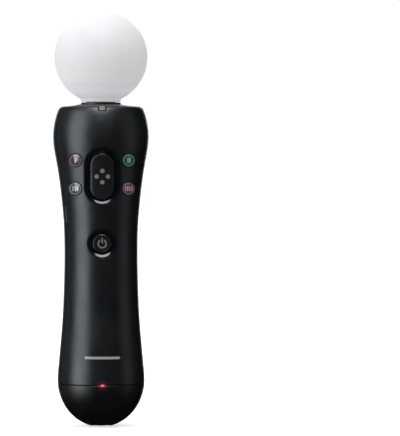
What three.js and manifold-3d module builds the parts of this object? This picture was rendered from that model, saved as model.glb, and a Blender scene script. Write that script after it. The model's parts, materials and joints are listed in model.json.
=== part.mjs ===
// A hand-held motion controller: a glowing ball on a waisted round handle, split into a front shell with the
// face buttons, a rear shell with a finger scoop and trigger, and a domed tail cap with the sockets.
// Units are millimetres. +Z runs up the handle, -Y is the button side, and the origin is the centre of the
// flat foot at the bottom of the tail cap.
import * as THREE from 'three';
import { mergeVertices } from 'three/addons/utils/BufferGeometryUtils.js';
import Module from 'manifold-3d';

const wasm = await Module();
wasm.setup();

// ---------------------------------------------------------------- driving dimensions
const GAP = 0.3; // clearance between pieces that meet
const WALL = 1.8; // shell wall
const TAIL_WALL = 2.2;
const SEAM_Z = 20.4; // joint between the shells and the tail cap
const SHELL_TOP_Z = 153.2;
const ROUND = 32; // facets round the outside of the handle
const ROUND_INSIDE = 20;

// Handle outline above the tail dome: height and outer radius.
const HANDLE = [
  [22.0, 21.0], [32.0, 20.25], [45.0, 19.1], [58.0, 18.25], [71.0, 17.78], [84.0, 17.6], [97.0, 17.92],
  [108.7, 18.9], [117.4, 19.92], [126.0, 21.22], [133.4, 22.55], [139.2, 23.0], [144.9, 22.5],
  [149.3, 21.5], [152.0, 20.55], [153.6, 19.6],
];
const DOME = { radius: 21.0, height: 22.75, centreZ: 22.0 }; // elliptical tail dome, cut flat at z = 0

// Floor of the finger scoop in the rear shell: height and distance behind the axis.
const SCOOP = [
  [106.0, 24.0], [109.0, 20.4], [112.0, 17.5], [116.0, 15.1], [122.0, 13.1], [128.0, 12.3], [134.0, 12.3],
  [139.0, 12.9], [142.6, 13.9], [145.2, 15.4], [147.0, 17.6], [148.0, 21.0],
];
const SCOOP_RIM = { halfWidth: 18.9, halfHeight: 18.4, z: 128.5 }; // oval edge of the scoop, seen from behind

const SPHERE = { radius: 22.4, z: 177.6, wall: 1.4, neckRadius: 9.5, neckZ: 155.9 };
const COLLAR = { rimRadius: 19.5, rimZ: 153.5, crownZ: 154.8, spigotRadius: 17.6, spigotZ: 150.4, wall: 1.4 };
const TAB = { width: 3.4, z: 151.4 }; // locating tabs of the collar, front and back
const SEAT = {
  flangeRadius: 9.6, flangeZ: 154.35, flangeTopZ: 155.6, chamfer: 0.3,
  spigotRadius: 7.0, bore: 5.7, topZ: 161.0, footZ: 151.6, footRadius: 8.4, footHeight: 1.2,
};
const LIGHT_BOARD = { radius: 7.6, z: [149.6, 150.6] };
const RGB_LED = { half: 1.9, z: [150.9, 152.5] };

// Main board: its two faces in Y, half widths of its foot, middle and head, and where they change.
const BOARD = {
  front: -2.6, back: -1.4, low: 80.0, high: 147.0,
  footHalf: 13.8, middleHalf: 16.0, headHalf: 13.6, middle: [110, 136], shoulder: [106, 139.5],
};
const BOARD_PART_Y = -1.1; // front of every part on the rear face of the main board
const KEYPAD = {
  front: -3.7, back: -2.9, domeTip: -5.1, low: 82.5, high: 133,
  half: 13.6, upperHalf: 15.9, shoulder: [106, 110],
};
const STEM_END = -5.4; // rear end of every face button
const STEM_HALF = 2.2;

const MAIN_BUTTON = {
  width: 11.3, height: 21.9, z: 120.1, proud: 0.1, flange: [-15.6, -14.6], rim: 0.9, stem: 5.0,
};
const HOME = { radius: 4.5, z: 88.0, proud: 0.1, flangeRadius: 5.3, flange: [-14.5, -13.5] };
const ACTION = {
  radius: 3.0, x: 12.8, upperZ: 127.8, lowerZ: 114.3, proud: 0.7, flangeRadius: 3.6, flange: [-6.4, STEM_END],
  sleeveRadius: 4.1,
};
const SIDE = {
  width: 3.6, height: 9.0, y: -5.0, z: 101.5, proud: 0.1, inner: 14.4, flangeX: [15.1, 15.9], rim: 0.6,
};
const EDGE_SWITCH = { x: [9.6, 12.8], y: [-5.8, -2.9], half: 2.2, plungerY: -4.4, plunger: 0.9, depth: 0.8 };
const DISH = { depth: 1.1, margin: 2.5 }; // shallow dishes round the centre buttons

const PIVOT = { y: 7.2, z: 137.0, axle: 1.0, bore: 1.35, hub: 2.5, axleHalf: 12.4 };
const TRIGGER = { half: 8.85, corner: 4.6, wall: 1.8, springHalf: 3.0 };
const TRIGGER_SWEEP = 25.4; // radius of the trigger's underside about its pivot
// Side outline of the trigger's rear (y, z): concave finger face, lip, then the start of the underside.
const TRIGGER_FACE = [
  [9.5, 135.3], [11.3, 133.4], [12.6, 130.6], [14.6, 128.0], [17.4, 125.9], [20.6, 124.3], [22.3, 123.3],
  [22.5, 122.2], [20.9, 118.9], [18.8, 116.0], [16.4, 113.6],
];
// Side outline of the hollow in its back.
const TRIGGER_POCKET = [
  [0, 114.6], [14.2, 115.4], [18.6, 118.6], [20.4, 121.6], [15.0, 125.2], [11.8, 128.4], [10.2, 131.6],
  [0, 131.6],
];
const SPRING = { turns: 3, radius: 1.95, wire: 0.28, half: 2.2, board: [3.4, 129.8], blade: [2.9, 134.4] };
const BRACKET = {
  half: 12.4, y: [0.6, 1.8], z: [132.6, 141.4], cheek: 2.0, cheekY: 9.4, cheekZ: [133.8, 140.2],
};
const BRACKET_SCREW = { x: 7.0, z: 139.6, radius: 1.0, headRadius: 1.7, headHeight: 1.0, tipY: -4.6 };
const SLOT = { half: 9.65, low: 111.2, high: 134.9, corner: 5.2 };

const CASE_SCREWS = [[17.7, 143.7], [-17.7, 143.7], [15.1, 26.8], [-15.1, 26.8]];
const BOSS_RADIUS = 2.7;
const SCREW = {
  headRadius: 2.0, headY: [3.4, 5.0], shankRadius: 1.0, tipY: -6.5, headBore: 2.3, shankBore: 1.35,
  crossHalf: 1.2, crossWidth: 0.25, crossDepth: 0.8,
};
const RESET = {
  x: 10.6, z: 35.6, radius: 1.35, half: 2.0, y: [6.9, 9.0], plunger: 0.7, plungerY: [8.1, 9.8],
};

const PLATE = {
  half: 8.3, footHalf: 6.9, low: 20.9, chamferZ: 26.5, high: 84.3, corner: 2.6, sunk: 0.1, thick: 0.6,
};

const USB = { y: -3.9, width: 7.7, depth: 3.9, length: 9.0, wall: 0.4 };
const EXPANSION = { y: 3.9, width: 9.6, depth: 3.4, length: 8.0, wall: 0.7 };
const PORT_Z = 0.6; // mouths of both sockets
const TAIL_BOARD = { low: 9.9, high: 11.1, radius: 14.3 };
// Rim of the tail cap: a spigot inside the shells on a ledge on the wall, as [inner, outer] radii.
const SPIGOT = { radii: [16.9, 18.3], below: 4.0, above: 3.4, ledge: [17.2, 19.6], ledgeBelow: [6.0, 2.4] };
const CONTACT = { x: 9.7, slope: 30, length: 3.0, width: 3.6, thick: 1.9 };
const LENS = { half: 1.5, low: 19.5, high: 21.3, backY: -17.4, ledHalf: 1.2, ledY: [-17.1, -15.6] };
// The strap groove lies along a chord of the dome, from its lower to its upper lip; both are [y, z].
const STRAP = {
  half: 1.85, lower: [8.9, 1.4], upper: [16.6, 8.1], depth: 3.2, wall: 1.4, minY: 7.6,
  barRadius: 0.7, barDepth: 1.5, barSeat: 0.8,
};
const LOCK = {
  half: 2.6, y: [14.9, 16.1], low: 11.4, high: 17.4, ridgeY: 19.1, ridgeZ: [11.9, 12.7],
  windowHalf: 2.0, windowZ: [11.2, 16.3], windowCorner: 0.9,
};

const BATTERY = { halfX: 12.0, halfY: 5.4, low: 31.9, high: 76.9 };
const CRADLE_WALL = 1.3;
const MOTOR = {
  y: 6.0, radius: 4.5, low: 85.5, high: 97.5, shaft: 0.55, shaftDepth: 3.0, shaftTop: 103.2,
  weightRadius: 4.8, weightHub: 1.6, weightZ: [98.8, 102.8], boot: 1.2, bootZ: [87.5, 94.5],
};

// ---------------------------------------------------------------- materials
const material = (color, roughness, metalness = 0, extra = {}) =>
  new THREE.MeshStandardMaterial({ color, roughness, metalness, ...extra });
const LOOK = {
  shell: material(0x17191b, 0.42),
  collar: material(0x2a292c, 0.5),
  sphere: material(0xf1f0f4, 0.55),
  button: material(0x1c1f21, 0.38),
  smoke: material(0x2b2c30, 0.2),
  trigger: material(0x1e2022, 0.35),
  plate: material(0x191b1d, 0.36),
  steel: material(0xb9bcc0, 0.3, 1),
  gold: material(0xd0a860, 0.35, 1),
  rubber: material(0x3a3b3e, 0.85),
  board: material(0x1d5a38, 0.5),
  chip: material(0x121315, 0.55),
  white: material(0xe6e6e2, 0.6),
  clear: material(0xe9eef2, 0.1),
  cell: material(0x3e6f9c, 0.5),
  ribbon: material(0xb5702a, 0.5),
  red: material(0xd0122a, 0.25, 0, { emissive: 0x9a0a18 }),
};

// ---------------------------------------------------------------- curves
// Smooth curve through [z, value] stations (cubic Hermite, slopes from the neighbours).
function through(stations, z) {
  let i = 0;
  while (i < stations.length - 2 && z > stations[i + 1][0]) i++;
  const slope = (k) => {
    const a = stations[Math.max(k - 1, 0)];
    const b = stations[Math.min(k + 1, stations.length - 1)];
    return (b[1] - a[1]) / (b[0] - a[0]);
  };
  const [z0, v0] = stations[i];
  const [z1, v1] = stations[i + 1];
  const h = z1 - z0;
  const t = Math.min(Math.max((z - z0) / h, 0), 1);
  const m0 = i === 0 ? 0 : slope(i);
  const m1 = slope(i + 1);
  return (
    v0 * (2 * t ** 3 - 3 * t ** 2 + 1) + m0 * h * (t ** 3 - 2 * t ** 2 + t) +
    v1 * (3 * t ** 2 - 2 * t ** 3) + m1 * h * (t ** 3 - t ** 2)
  );
}

// Outer radius of the whole handle at a height; a wall's inner face is inset from it.
function handleRadius(z, inset = 0) {
  if (z >= DOME.centreZ) return through(HANDLE, z) - inset;
  const drop = (DOME.centreZ - z) / (DOME.height - inset);
  return (DOME.radius - inset) * Math.sqrt(Math.max(1 - drop * drop, 0));
}

// ---------------------------------------------------------------- solids
// A closed three.js geometry as a solid.
function solidOf(geometry) {
  const bare = geometry.index ? geometry.toNonIndexed() : geometry.clone();
  bare.deleteAttribute('normal');
  bare.deleteAttribute('uv');
  const merged = mergeVertices(bare, 1e-4);
  const index = merged.index.array;
  const kept = [];
  for (let i = 0; i < index.length; i += 3) {
    const [a, b, c] = [index[i], index[i + 1], index[i + 2]];
    if (a !== b && b !== c && c !== a) kept.push(a, b, c);
  }
  const vertProperties = merged.attributes.position.array;
  return new wasm.Manifold(new wasm.Mesh({ numProp: 3, vertProperties, triVerts: new Uint32Array(kept) }));
}

// Turned piece on the Z axis; the profile is [radius, z] pairs, from foot to top or in a closed loop.
function turned(profile, facets = ROUND) {
  const points = profile.map(([r, z]) => new THREE.Vector2(r, z));
  return solidOf(new THREE.LatheGeometry(points, facets).rotateX(Math.PI / 2));
}

function ring(inner, outer, low, high, facets = 32) {
  const profile = [[inner, high], [inner, low], [outer, low], [outer, high], [inner, high]];
  return turned(profile, facets);
}

function disc(radius, low, high, facets = 32) {
  return turned([[0, low], [radius, low], [radius, high], [0, high]], facets);
}

// Round bar along Y, X or Z.
function barY(radius, y0, y1, x = 0, z = 0, facets = 24) {
  const bar = new THREE.CylinderGeometry(radius, radius, y1 - y0, facets);
  return solidOf(bar.translate(x, (y0 + y1) / 2, z));
}

function barX(radius, x0, x1, y = 0, z = 0, facets = 24) {
  const bar = new THREE.CylinderGeometry(radius, radius, x1 - x0, facets).rotateZ(Math.PI / 2);
  return solidOf(bar.translate((x0 + x1) / 2, y, z));
}

function barZ(radius, z0, z1, x = 0, y = 0, facets = 24) {
  const bar = new THREE.CylinderGeometry(radius, radius, z1 - z0, facets).rotateX(Math.PI / 2);
  return solidOf(bar.translate(x, y, (z0 + z1) / 2));
}

function block([x0, x1], [y0, y1], [z0, z1]) {
  const box = new THREE.BoxGeometry(x1 - x0, y1 - y0, z1 - z0);
  return solidOf(box.translate((x0 + x1) / 2, (y0 + y1) / 2, (z0 + z1) / 2));
}

// Outline in the XZ plane, pushed along Y.
function pushedY(shape, [y0, y1], curveSegments = 3) {
  const slab = new THREE.ExtrudeGeometry(shape, { depth: y1 - y0, bevelEnabled: false, curveSegments });
  return solidOf(slab.rotateX(Math.PI / 2).translate(0, y1, 0));
}

// Outline in the YZ plane, pushed along X.
function pushedX(shape, [x0, x1], curveSegments = 3) {
  const slab = new THREE.ExtrudeGeometry(shape, { depth: x1 - x0, bevelEnabled: false, curveSegments });
  const turn = new THREE.Matrix4().makeBasis(
    new THREE.Vector3(0, 1, 0), new THREE.Vector3(0, 0, 1), new THREE.Vector3(1, 0, 0),
  );
  return solidOf(slab.applyMatrix4(turn).translate(x0, 0, 0));
}

function shapeOf(points) {
  return new THREE.Shape(points.map(([u, v]) => new THREE.Vector2(u, v)));
}

// Rectangle with round corners, centred on (u, v).
function roundedRect(width, height, corner, u = 0, v = 0) {
  const [a, b] = [width / 2, height / 2];
  const r = Math.min(corner, a - 1e-3, b - 1e-3);
  const shape = new THREE.Shape();
  shape.absarc(u + a - r, v - b + r, r, -Math.PI / 2, 0, false);
  shape.absarc(u + a - r, v + b - r, r, 0, Math.PI / 2, false);
  shape.absarc(u - a + r, v + b - r, r, Math.PI / 2, Math.PI, false);
  shape.absarc(u - a + r, v - b + r, r, Math.PI, 1.5 * Math.PI, false);
  return shape;
}

function circle(radius, u, v) {
  const shape = new THREE.Shape();
  for (let i = 0; i < 4; i++) shape.absarc(u, v, radius, (i * Math.PI) / 2, ((i + 1) * Math.PI) / 2, false);
  return shape;
}

// The handle's solid between two heights, inset from the outer surface; every = 2 keeps every second station.
function handleSolid(low, high, inset = 0, every = 1, facets = ROUND) {
  const between = HANDLE.map(([z]) => z).filter((z, i) => i % every === 0 && z > low + 1 && z < high - 1);
  const profile = [low, ...between, high].map((z) => [handleRadius(z, inset), z]);
  return turned([[0, low], ...profile, [0, high]], facets);
}

// An interval on the +X side, or its mirror image on the -X side.
function sided(side, from, to) {
  return side > 0 ? [from, to] : [-to, -from];
}

const BACK_HALF = block([-40, 40], [GAP / 2, 60], [-10, 220]);
const FRONT_HALF = block([-40, 40], [-60, -GAP / 2], [-10, 220]);

// ---------------------------------------------------------------- button outlines
const mainOutline = (grow = 0) => {
  const { width, height, z } = MAIN_BUTTON;
  return roundedRect(width + 2 * grow, height + 2 * grow, width / 2 + grow, 0, z);
};
const sideOutline = (grow = 0) =>
  roundedRect(SIDE.width + 2 * grow, SIDE.height + 2 * grow, SIDE.width / 2 + grow, SIDE.y, SIDE.z);
const ACTION_PLACES = {
  upper_left: [-ACTION.x, ACTION.upperZ],
  upper_right: [ACTION.x, ACTION.upperZ],
  lower_left: [-ACTION.x, ACTION.lowerZ],
  lower_right: [ACTION.x, ACTION.lowerZ],
};

// Shallow dish round a button, of one depth below the handle's surface.
function dish(outline, z) {
  return pushedY(outline(DISH.margin), [-30, -10]).subtract(handleSolid(z - 20, z + 20, DISH.depth));
}

// ---------------------------------------------------------------- shells
function caseBosses(half) {
  const posts = CASE_SCREWS.map(([x, z]) => barY(BOSS_RADIUS, -22, 22, x, z, 12));
  const bosses = posts.reduce((all, post) => all.add(post)).intersect(half);
  return bosses.intersect(handleSolid(SEAM_Z + GAP, SHELL_TOP_Z, 0.6, 2, ROUND_INSIDE));
}

// The round tube that both shells are halves of.
function shellSkin() {
  const hollow = handleSolid(SEAM_Z - 2, SHELL_TOP_Z + 1, WALL, 2, ROUND_INSIDE);
  return handleSolid(SEAM_Z + GAP / 2, SHELL_TOP_Z).subtract(hollow);
}

function tabNotch(y) {
  const half = TAB.width / 2 + GAP;
  return block([-half, half], y, [TAB.z - GAP, 160]);
}

function frontShell() {
  let shell = shellSkin().intersect(FRONT_HALF);
  // guide sleeves behind the four small buttons
  const inside = handleSolid(100, 150, 0.5, 2, ROUND_INSIDE);
  for (const [x, z] of Object.values(ACTION_PLACES)) {
    shell = shell.add(barY(ACTION.sleeveRadius, -20, ACTION.flange[0] - GAP, x, z, 12).intersect(inside));
  }
  shell = shell.add(caseBosses(FRONT_HALF));
  shell = shell.subtract(dish(mainOutline, MAIN_BUTTON.z));
  shell = shell.subtract(dish((grow) => circle(HOME.radius + grow, 0, HOME.z), HOME.z));
  // button openings
  shell = shell.subtract(pushedY(mainOutline(GAP), [-30, -6]));
  shell = shell.subtract(barY(HOME.radius + GAP, -30, -6, 0, HOME.z));
  for (const [x, z] of Object.values(ACTION_PLACES)) {
    shell = shell.subtract(barY(ACTION.radius + GAP, -30, -3, x, z, 16));
  }
  for (const side of [-1, 1]) shell = shell.subtract(pushedX(sideOutline(GAP), sided(side, 12, 30)));
  // screw pilot holes, notches for the collar's tab and the status lens
  for (const [x, z] of CASE_SCREWS) {
    shell = shell.subtract(barY(SCREW.shankBore, SCREW.tipY - 1, 1, x, z, 12));
  }
  shell = shell.subtract(tabNotch([-30, -10]));
  return shell.subtract(block([-LENS.half - GAP, LENS.half + GAP], [-30, -14], [0, LENS.high + GAP]));
}

// The scoop's cutter: everything behind its floor, within an oval seen from behind.
function scoopCutter(inset = 0) {
  const steps = 18;
  const points = [];
  const [low, high] = [SCOOP[0][0], SCOOP.at(-1)[0]];
  for (let i = 0; i <= steps; i++) {
    const z = low + ((high - low) * i) / steps;
    points.push([through(SCOOP, z) - inset, z]);
  }
  points.push([60, high + inset], [60, low - inset]);
  const { halfWidth, halfHeight, z } = SCOOP_RIM;
  const rim = new THREE.Shape();
  for (let i = 0; i < 4; i++) {
    const [from, to] = [i, i + 1].map((quarter) => (quarter * Math.PI) / 2);
    rim.absellipse(0, z, halfWidth + inset, halfHeight + inset, from, to, false);
  }
  return pushedX(shapeOf(points), [-30, 30]).intersect(pushedY(rim, [2, 40], 4));
}

const slotOutline = () => {
  const shape = new THREE.Shape();
  shape.absarc(SLOT.half - SLOT.corner, SLOT.low + SLOT.corner, SLOT.corner, -Math.PI / 2, 0, false);
  shape.lineTo(SLOT.half, SLOT.high);
  shape.lineTo(-SLOT.half, SLOT.high);
  shape.absarc(-SLOT.half + SLOT.corner, SLOT.low + SLOT.corner, SLOT.corner, Math.PI, 1.5 * Math.PI, false);
  return shape;
};

const plateOutline = (grow = 0) => {
  const { half, footHalf, low, chamferZ, high, corner } = PLATE;
  const shape = new THREE.Shape();
  shape.moveTo(-footHalf - grow, low - grow);
  shape.lineTo(footHalf + grow, low - grow);
  shape.lineTo(half + grow, chamferZ);
  shape.absarc(half - corner, high - corner, corner + grow, 0, Math.PI / 2, false);
  shape.absarc(-half + corner, high - corner, corner + grow, Math.PI / 2, Math.PI, false);
  shape.lineTo(-half - grow, chamferZ);
  return shape;
};

function rearShell() {
  let shell = shellSkin();
  shell = shell.add(scoopCutter(WALL).intersect(handleSolid(100, 152, 0.4)));
  shell = shell.add(caseBosses(BACK_HALF)).intersect(BACK_HALF);
  shell = shell.subtract(scoopCutter());
  shell = shell.subtract(pushedY(slotOutline(), [5, 30]));
  for (const [x, z] of CASE_SCREWS) {
    shell = shell.subtract(barY(SCREW.headBore, SCREW.headY[0] - GAP, 30, x, z, 16));
    shell = shell.subtract(barY(SCREW.shankBore, -1, 6, x, z, 12));
  }
  shell = shell.subtract(barY(RESET.radius, 5, 30, RESET.x, RESET.z, 16));
  const below = handleSolid(15, 90, PLATE.sunk + PLATE.thick + GAP);
  shell = shell.subtract(pushedY(plateOutline(GAP), [5, 30]).subtract(below));
  return shell.subtract(tabNotch([10, 30]));
}

function ratingPlate() {
  const skin = handleSolid(15, 90, PLATE.sunk).subtract(handleSolid(14, 91, PLATE.sunk + PLATE.thick));
  return pushedY(plateOutline(), [5, 30]).intersect(skin);
}

// ---------------------------------------------------------------- tail cap
// A box along the strap groove's chord, grown on every side.
function grooveBox(grow, minY) {
  const { half, lower, upper, depth } = STRAP;
  const [dy, dz] = [upper[0] - lower[0], upper[1] - lower[1]];
  const box = new THREE.BoxGeometry(2 * (half + grow), Math.hypot(dy, dz) + 2 * grow, depth + grow + 6);
  const middle = [(lower[0] + upper[0]) / 2, (lower[1] + upper[1]) / 2];
  box.translate(0, 0, (depth + grow - 6) / 2).rotateX(Math.atan2(dz, dy)).translate(0, ...middle);
  return solidOf(box).intersect(block([-9, 9], [minY, 40], [-20, 40]));
}

// The bar across the groove, with its ends in the groove's end walls.
function strapBar(grow = 0) {
  const { lower, upper, barRadius, barDepth } = STRAP;
  const [dy, dz] = [upper[0] - lower[0], upper[1] - lower[1]];
  const length = Math.hypot(dy, dz) + 2 * (STRAP.barSeat + grow);
  const bar = new THREE.CylinderGeometry(barRadius + grow, barRadius + grow, length, 16);
  const middle = [(lower[0] + upper[0]) / 2, (lower[1] + upper[1]) / 2];
  return solidOf(bar.translate(0, 0, barDepth).rotateX(Math.atan2(dz, dy)).translate(0, ...middle));
}

function contactBlock(side, grow) {
  const { x, slope, length, width, thick } = CONTACT;
  const size = [length + 2 * grow, width + 2 * grow, thick + (grow ? 4 : 0)];
  const dome = DOME.centreZ - DOME.height * Math.sqrt(1 - (x / DOME.radius) ** 2);
  const box = new THREE.BoxGeometry(...size).translate(0, 0, thick / 2 + 0.15);
  return solidOf(box.rotateY((-side * slope * Math.PI) / 180).translate(side * x, 0, dome));
}

// Solid of the tail dome; its rings are even in angle, so that the foot is as round as the rest.
function domeSolid(low, high, inset, steps, facets = ROUND) {
  const height = DOME.height - inset;
  const angleAt = (z) => Math.acos(Math.min((DOME.centreZ - z) / height, 1));
  const profile = [[0, low]];
  for (let i = 0; i <= steps; i++) {
    const angle = angleAt(low) + ((angleAt(Math.min(high, DOME.centreZ)) - angleAt(low)) * i) / steps;
    profile.push([(DOME.radius - inset) * Math.sin(angle), DOME.centreZ - height * Math.cos(angle)]);
  }
  if (high > DOME.centreZ) profile.push([DOME.radius - inset, high]);
  profile.push([0, Math.max(high, profile.at(-1)[1])]);
  return turned(profile, facets);
}

function tailCap() {
  let cap = domeSolid(0, SEAM_Z - GAP / 2, 0, 9);
  cap = cap.subtract(domeSolid(TAIL_WALL, SEAM_Z + 5, TAIL_WALL, 5, ROUND_INSIDE));
  const { radii, below, above, ledge, ledgeBelow } = SPIGOT;
  cap = cap.add(ring(...radii, SEAM_Z - below, SEAM_Z + above, ROUND_INSIDE));
  cap = cap.add(ring(...ledge, SEAM_Z - ledgeBelow[0], SEAM_Z - ledgeBelow[1], ROUND_INSIDE));
  // walls round the strap groove
  cap = cap.add(grooveBox(STRAP.wall, STRAP.minY - STRAP.wall).intersect(domeSolid(0, 20, 0.4, 5)));
  cap = cap.subtract(grooveBox(0, STRAP.minY)).subtract(strapBar(GAP));
  // strap lock: its window, and room behind the wall for it to slide
  const { windowHalf, windowCorner } = LOCK;
  const [foot, head] = LOCK.windowZ;
  const windowShape = roundedRect(2 * windowHalf, head - foot, windowCorner, 0, (foot + head) / 2);
  cap = cap.subtract(pushedY(windowShape, [14, 30], 2));
  const [lockFront, lockBack] = LOCK.y;
  const roomHalf = LOCK.half + GAP;
  cap = cap.subtract(block([-roomHalf, roomHalf], [lockFront - GAP, lockBack + GAP], [LOCK.low - GAP, 30]));
  // sockets, contacts and status lens
  const mouth = (port, depth) =>
    pushedZ(roundedRect(port.width + 2 * GAP, port.depth + 2 * GAP, 0.8, 0, port.y), [-1, depth]);
  cap = cap.subtract(mouth(USB, 8)).subtract(mouth(EXPANSION, 8));
  cap = cap.subtract(contactBlock(1, GAP)).subtract(contactBlock(-1, GAP));
  return cap.subtract(block([-LENS.half - GAP, LENS.half + GAP], [-30, -14], [LENS.low - GAP, 30]));
}

// Outline in the XY plane, pushed along Z.
function pushedZ(shape, [z0, z1], curveSegments = 2) {
  const slab = new THREE.ExtrudeGeometry(shape, { depth: z1 - z0, bevelEnabled: false, curveSegments });
  return solidOf(slab.translate(0, 0, z0));
}

// A metal or plastic socket: open at the foot, closed at the top, with a tongue inside.
function socket(port, corner) {
  const { y, width, depth, length, wall } = port;
  const shell = pushedZ(roundedRect(width, depth, corner, 0, y), [PORT_Z, PORT_Z + length]);
  const inside = roundedRect(width - 2 * wall, depth - 2 * wall, corner - wall / 2, 0, y);
  const tongueHalf = width / 2 - 1.6;
  const tongueZ = [PORT_Z + 1.6, PORT_Z + length - 0.5];
  const tongue = block([-tongueHalf, tongueHalf], [y - 0.35, y + 0.35], tongueZ);
  return shell.subtract(pushedZ(inside, [PORT_Z - 1, PORT_Z + length - 1])).add(tongue);
}

// The lock is a plate behind the tail's wall, with a thumb ridge through the window.
function strapLock() {
  const plate = block([-LOCK.half, LOCK.half], LOCK.y, [LOCK.low, LOCK.high]);
  const ridgeHalf = LOCK.windowHalf - GAP;
  return plate.add(block([-ridgeHalf, ridgeHalf], [LOCK.y[0] + 0.2, LOCK.ridgeY], LOCK.ridgeZ));
}

function statusLens() {
  const bar = block([-LENS.half, LENS.half], [-30, LENS.backY], [LENS.low, LENS.high]);
  return bar.intersect(handleSolid(15, 26, -0.1));
}

// Push switch behind the reset hole, bored for its plunger.
function resetSwitch() {
  const { x, z, half, y, plunger } = RESET;
  const body = block([x - half, x + half], y, [z - half, z + half]);
  return body.subtract(barY(plunger + GAP, y[0] + 0.5, y[1] + 1, x, z, 12));
}

// ---------------------------------------------------------------- head pieces
function lightSphere() {
  const { radius, z, wall, neckRadius, neckZ } = SPHERE;
  const arc = (r, from, steps) => {
    const points = [];
    const start = Math.asin(from / r);
    for (let i = 0; i <= steps; i++) {
      const angle = start + ((Math.PI - start) * i) / steps;
      points.push([i === steps ? 0 : r * Math.sin(angle), z - r * Math.cos(angle)]);
    }
    return points;
  };
  const outer = [[neckRadius, neckZ], [neckRadius, neckZ + 0.7], ...arc(radius, neckRadius + 0.5, 14)];
  const inner = [[neckRadius - wall, neckZ], ...arc(radius - wall, neckRadius - wall + 0.3, 8)];
  return turned([...outer, ...inner.reverse(), outer[0]], 26);
}

function sphereSeat() {
  const { flangeRadius, flangeZ, flangeTopZ, chamfer, spigotRadius, bore, topZ, footZ, footRadius } = SEAT;
  const footTopZ = footZ + SEAT.footHeight;
  return turned([
    [bore, footZ], [footRadius, footZ], [footRadius, footTopZ], [spigotRadius, footTopZ],
    [spigotRadius, flangeZ], [flangeRadius, flangeZ], [flangeRadius, flangeTopZ - chamfer],
    [flangeRadius - chamfer, flangeTopZ], [spigotRadius, flangeTopZ], [spigotRadius, topZ],
    [bore, topZ], [bore, footZ],
  ], 22);
}

function topCollar() {
  const { rimRadius, rimZ, crownZ, spigotRadius, spigotZ, wall } = COLLAR;
  const bore = SEAT.spigotRadius + GAP;
  const inside = spigotRadius - wall;
  const crownRadius = SEAT.flangeRadius + GAP;
  const ledgeZ = SEAT.flangeZ - GAP;
  const roof = turned([
    [bore, ledgeZ - 0.9], [inside, rimZ - 0.6], [inside, spigotZ], [spigotRadius, spigotZ],
    [spigotRadius, rimZ], [rimRadius, rimZ], [rimRadius, rimZ + 0.25], [crownRadius, crownZ - 0.05],
    [crownRadius, ledgeZ], [bore, ledgeZ], [bore, ledgeZ - 0.9],
  ], 28);
  const skin = handleSolid(149, 153.6, 0.05);
  const tab = (y) => block([-TAB.width / 2, TAB.width / 2], y, [TAB.z, rimZ + 0.2]).intersect(skin);
  return roof.add(tab([spigotRadius - 0.4, 30])).add(tab([-30, 0.4 - spigotRadius]));
}

function lightGuide() {
  const r = SEAT.bore - GAP;
  return turned([
    [0, 153.4], [r - 1.4, 153.4], [r, 155.5], [r, 163.0], [r - 0.8, 165.2], [r - 2.4, 166.6], [0, 167.2],
  ], 24);
}

// ---------------------------------------------------------------- buttons
// A cap whose top follows the handle's surface, with a retaining flange and a stem to the keypad.
function faceButton(outline, flangeOutline, flange, proud, stem) {
  const cap = pushedY(outline, [-30, flange[1]]).intersect(handleSolid(75, 145, -proud));
  const button = cap.add(pushedY(flangeOutline, flange));
  return stem ? button.add(stem) : button;
}

function mainButton() {
  const { z, flange, rim, proud, stem } = MAIN_BUTTON;
  const post = block([-STEM_HALF, STEM_HALF], [flange[1] - 0.5, STEM_END], [z - stem, z + stem]);
  return faceButton(mainOutline(), mainOutline(rim), flange, proud, post);
}

function homeButton() {
  const { radius, flangeRadius, z, flange, proud } = HOME;
  const post = barY(STEM_HALF, flange[1] - 0.5, STEM_END, 0, z, 16);
  return faceButton(circle(radius, 0, z), circle(flangeRadius, 0, z), flange, proud, post);
}

function actionButton([x, z]) {
  const { radius, flangeRadius, flange, proud } = ACTION;
  return faceButton(circle(radius, x, z), circle(flangeRadius, x, z), flange, proud, null);
}

// Side buttons press inwards along X on the plunger of an edge switch.
function sideButton(side) {
  const outside = handleSolid(90, 112, -SIDE.proud);
  const cap = pushedX(sideOutline(), sided(side, SIDE.inner, 30)).intersect(outside);
  const flange = pushedX(sideOutline(SIDE.rim), sided(side, ...SIDE.flangeX));
  return cap.add(flange.intersect(handleSolid(90, 112, WALL + GAP, 2, ROUND_INSIDE)));
}

function edgeSwitch(side) {
  const { x, y, half, plungerY, plunger } = EDGE_SWITCH;
  const body = block(sided(side, ...x), y, [SIDE.z - half, SIDE.z + half]);
  return body.subtract(barX(plunger + GAP, ...sided(side, 11, 14), plungerY, SIDE.z, 12));
}

function switchPlunger(side) {
  const { x, plungerY, plunger, depth } = EDGE_SWITCH;
  return barX(plunger, ...sided(side, x[1] - depth, SIDE.inner - 0.1), plungerY, SIDE.z, 12);
}

// Mirrors the right half of an outline, given from foot to top, to make a closed one.
function bothSides(half) {
  return shapeOf([...half, ...half.map(([x, z]) => [-x, z]).reverse()]);
}

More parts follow.
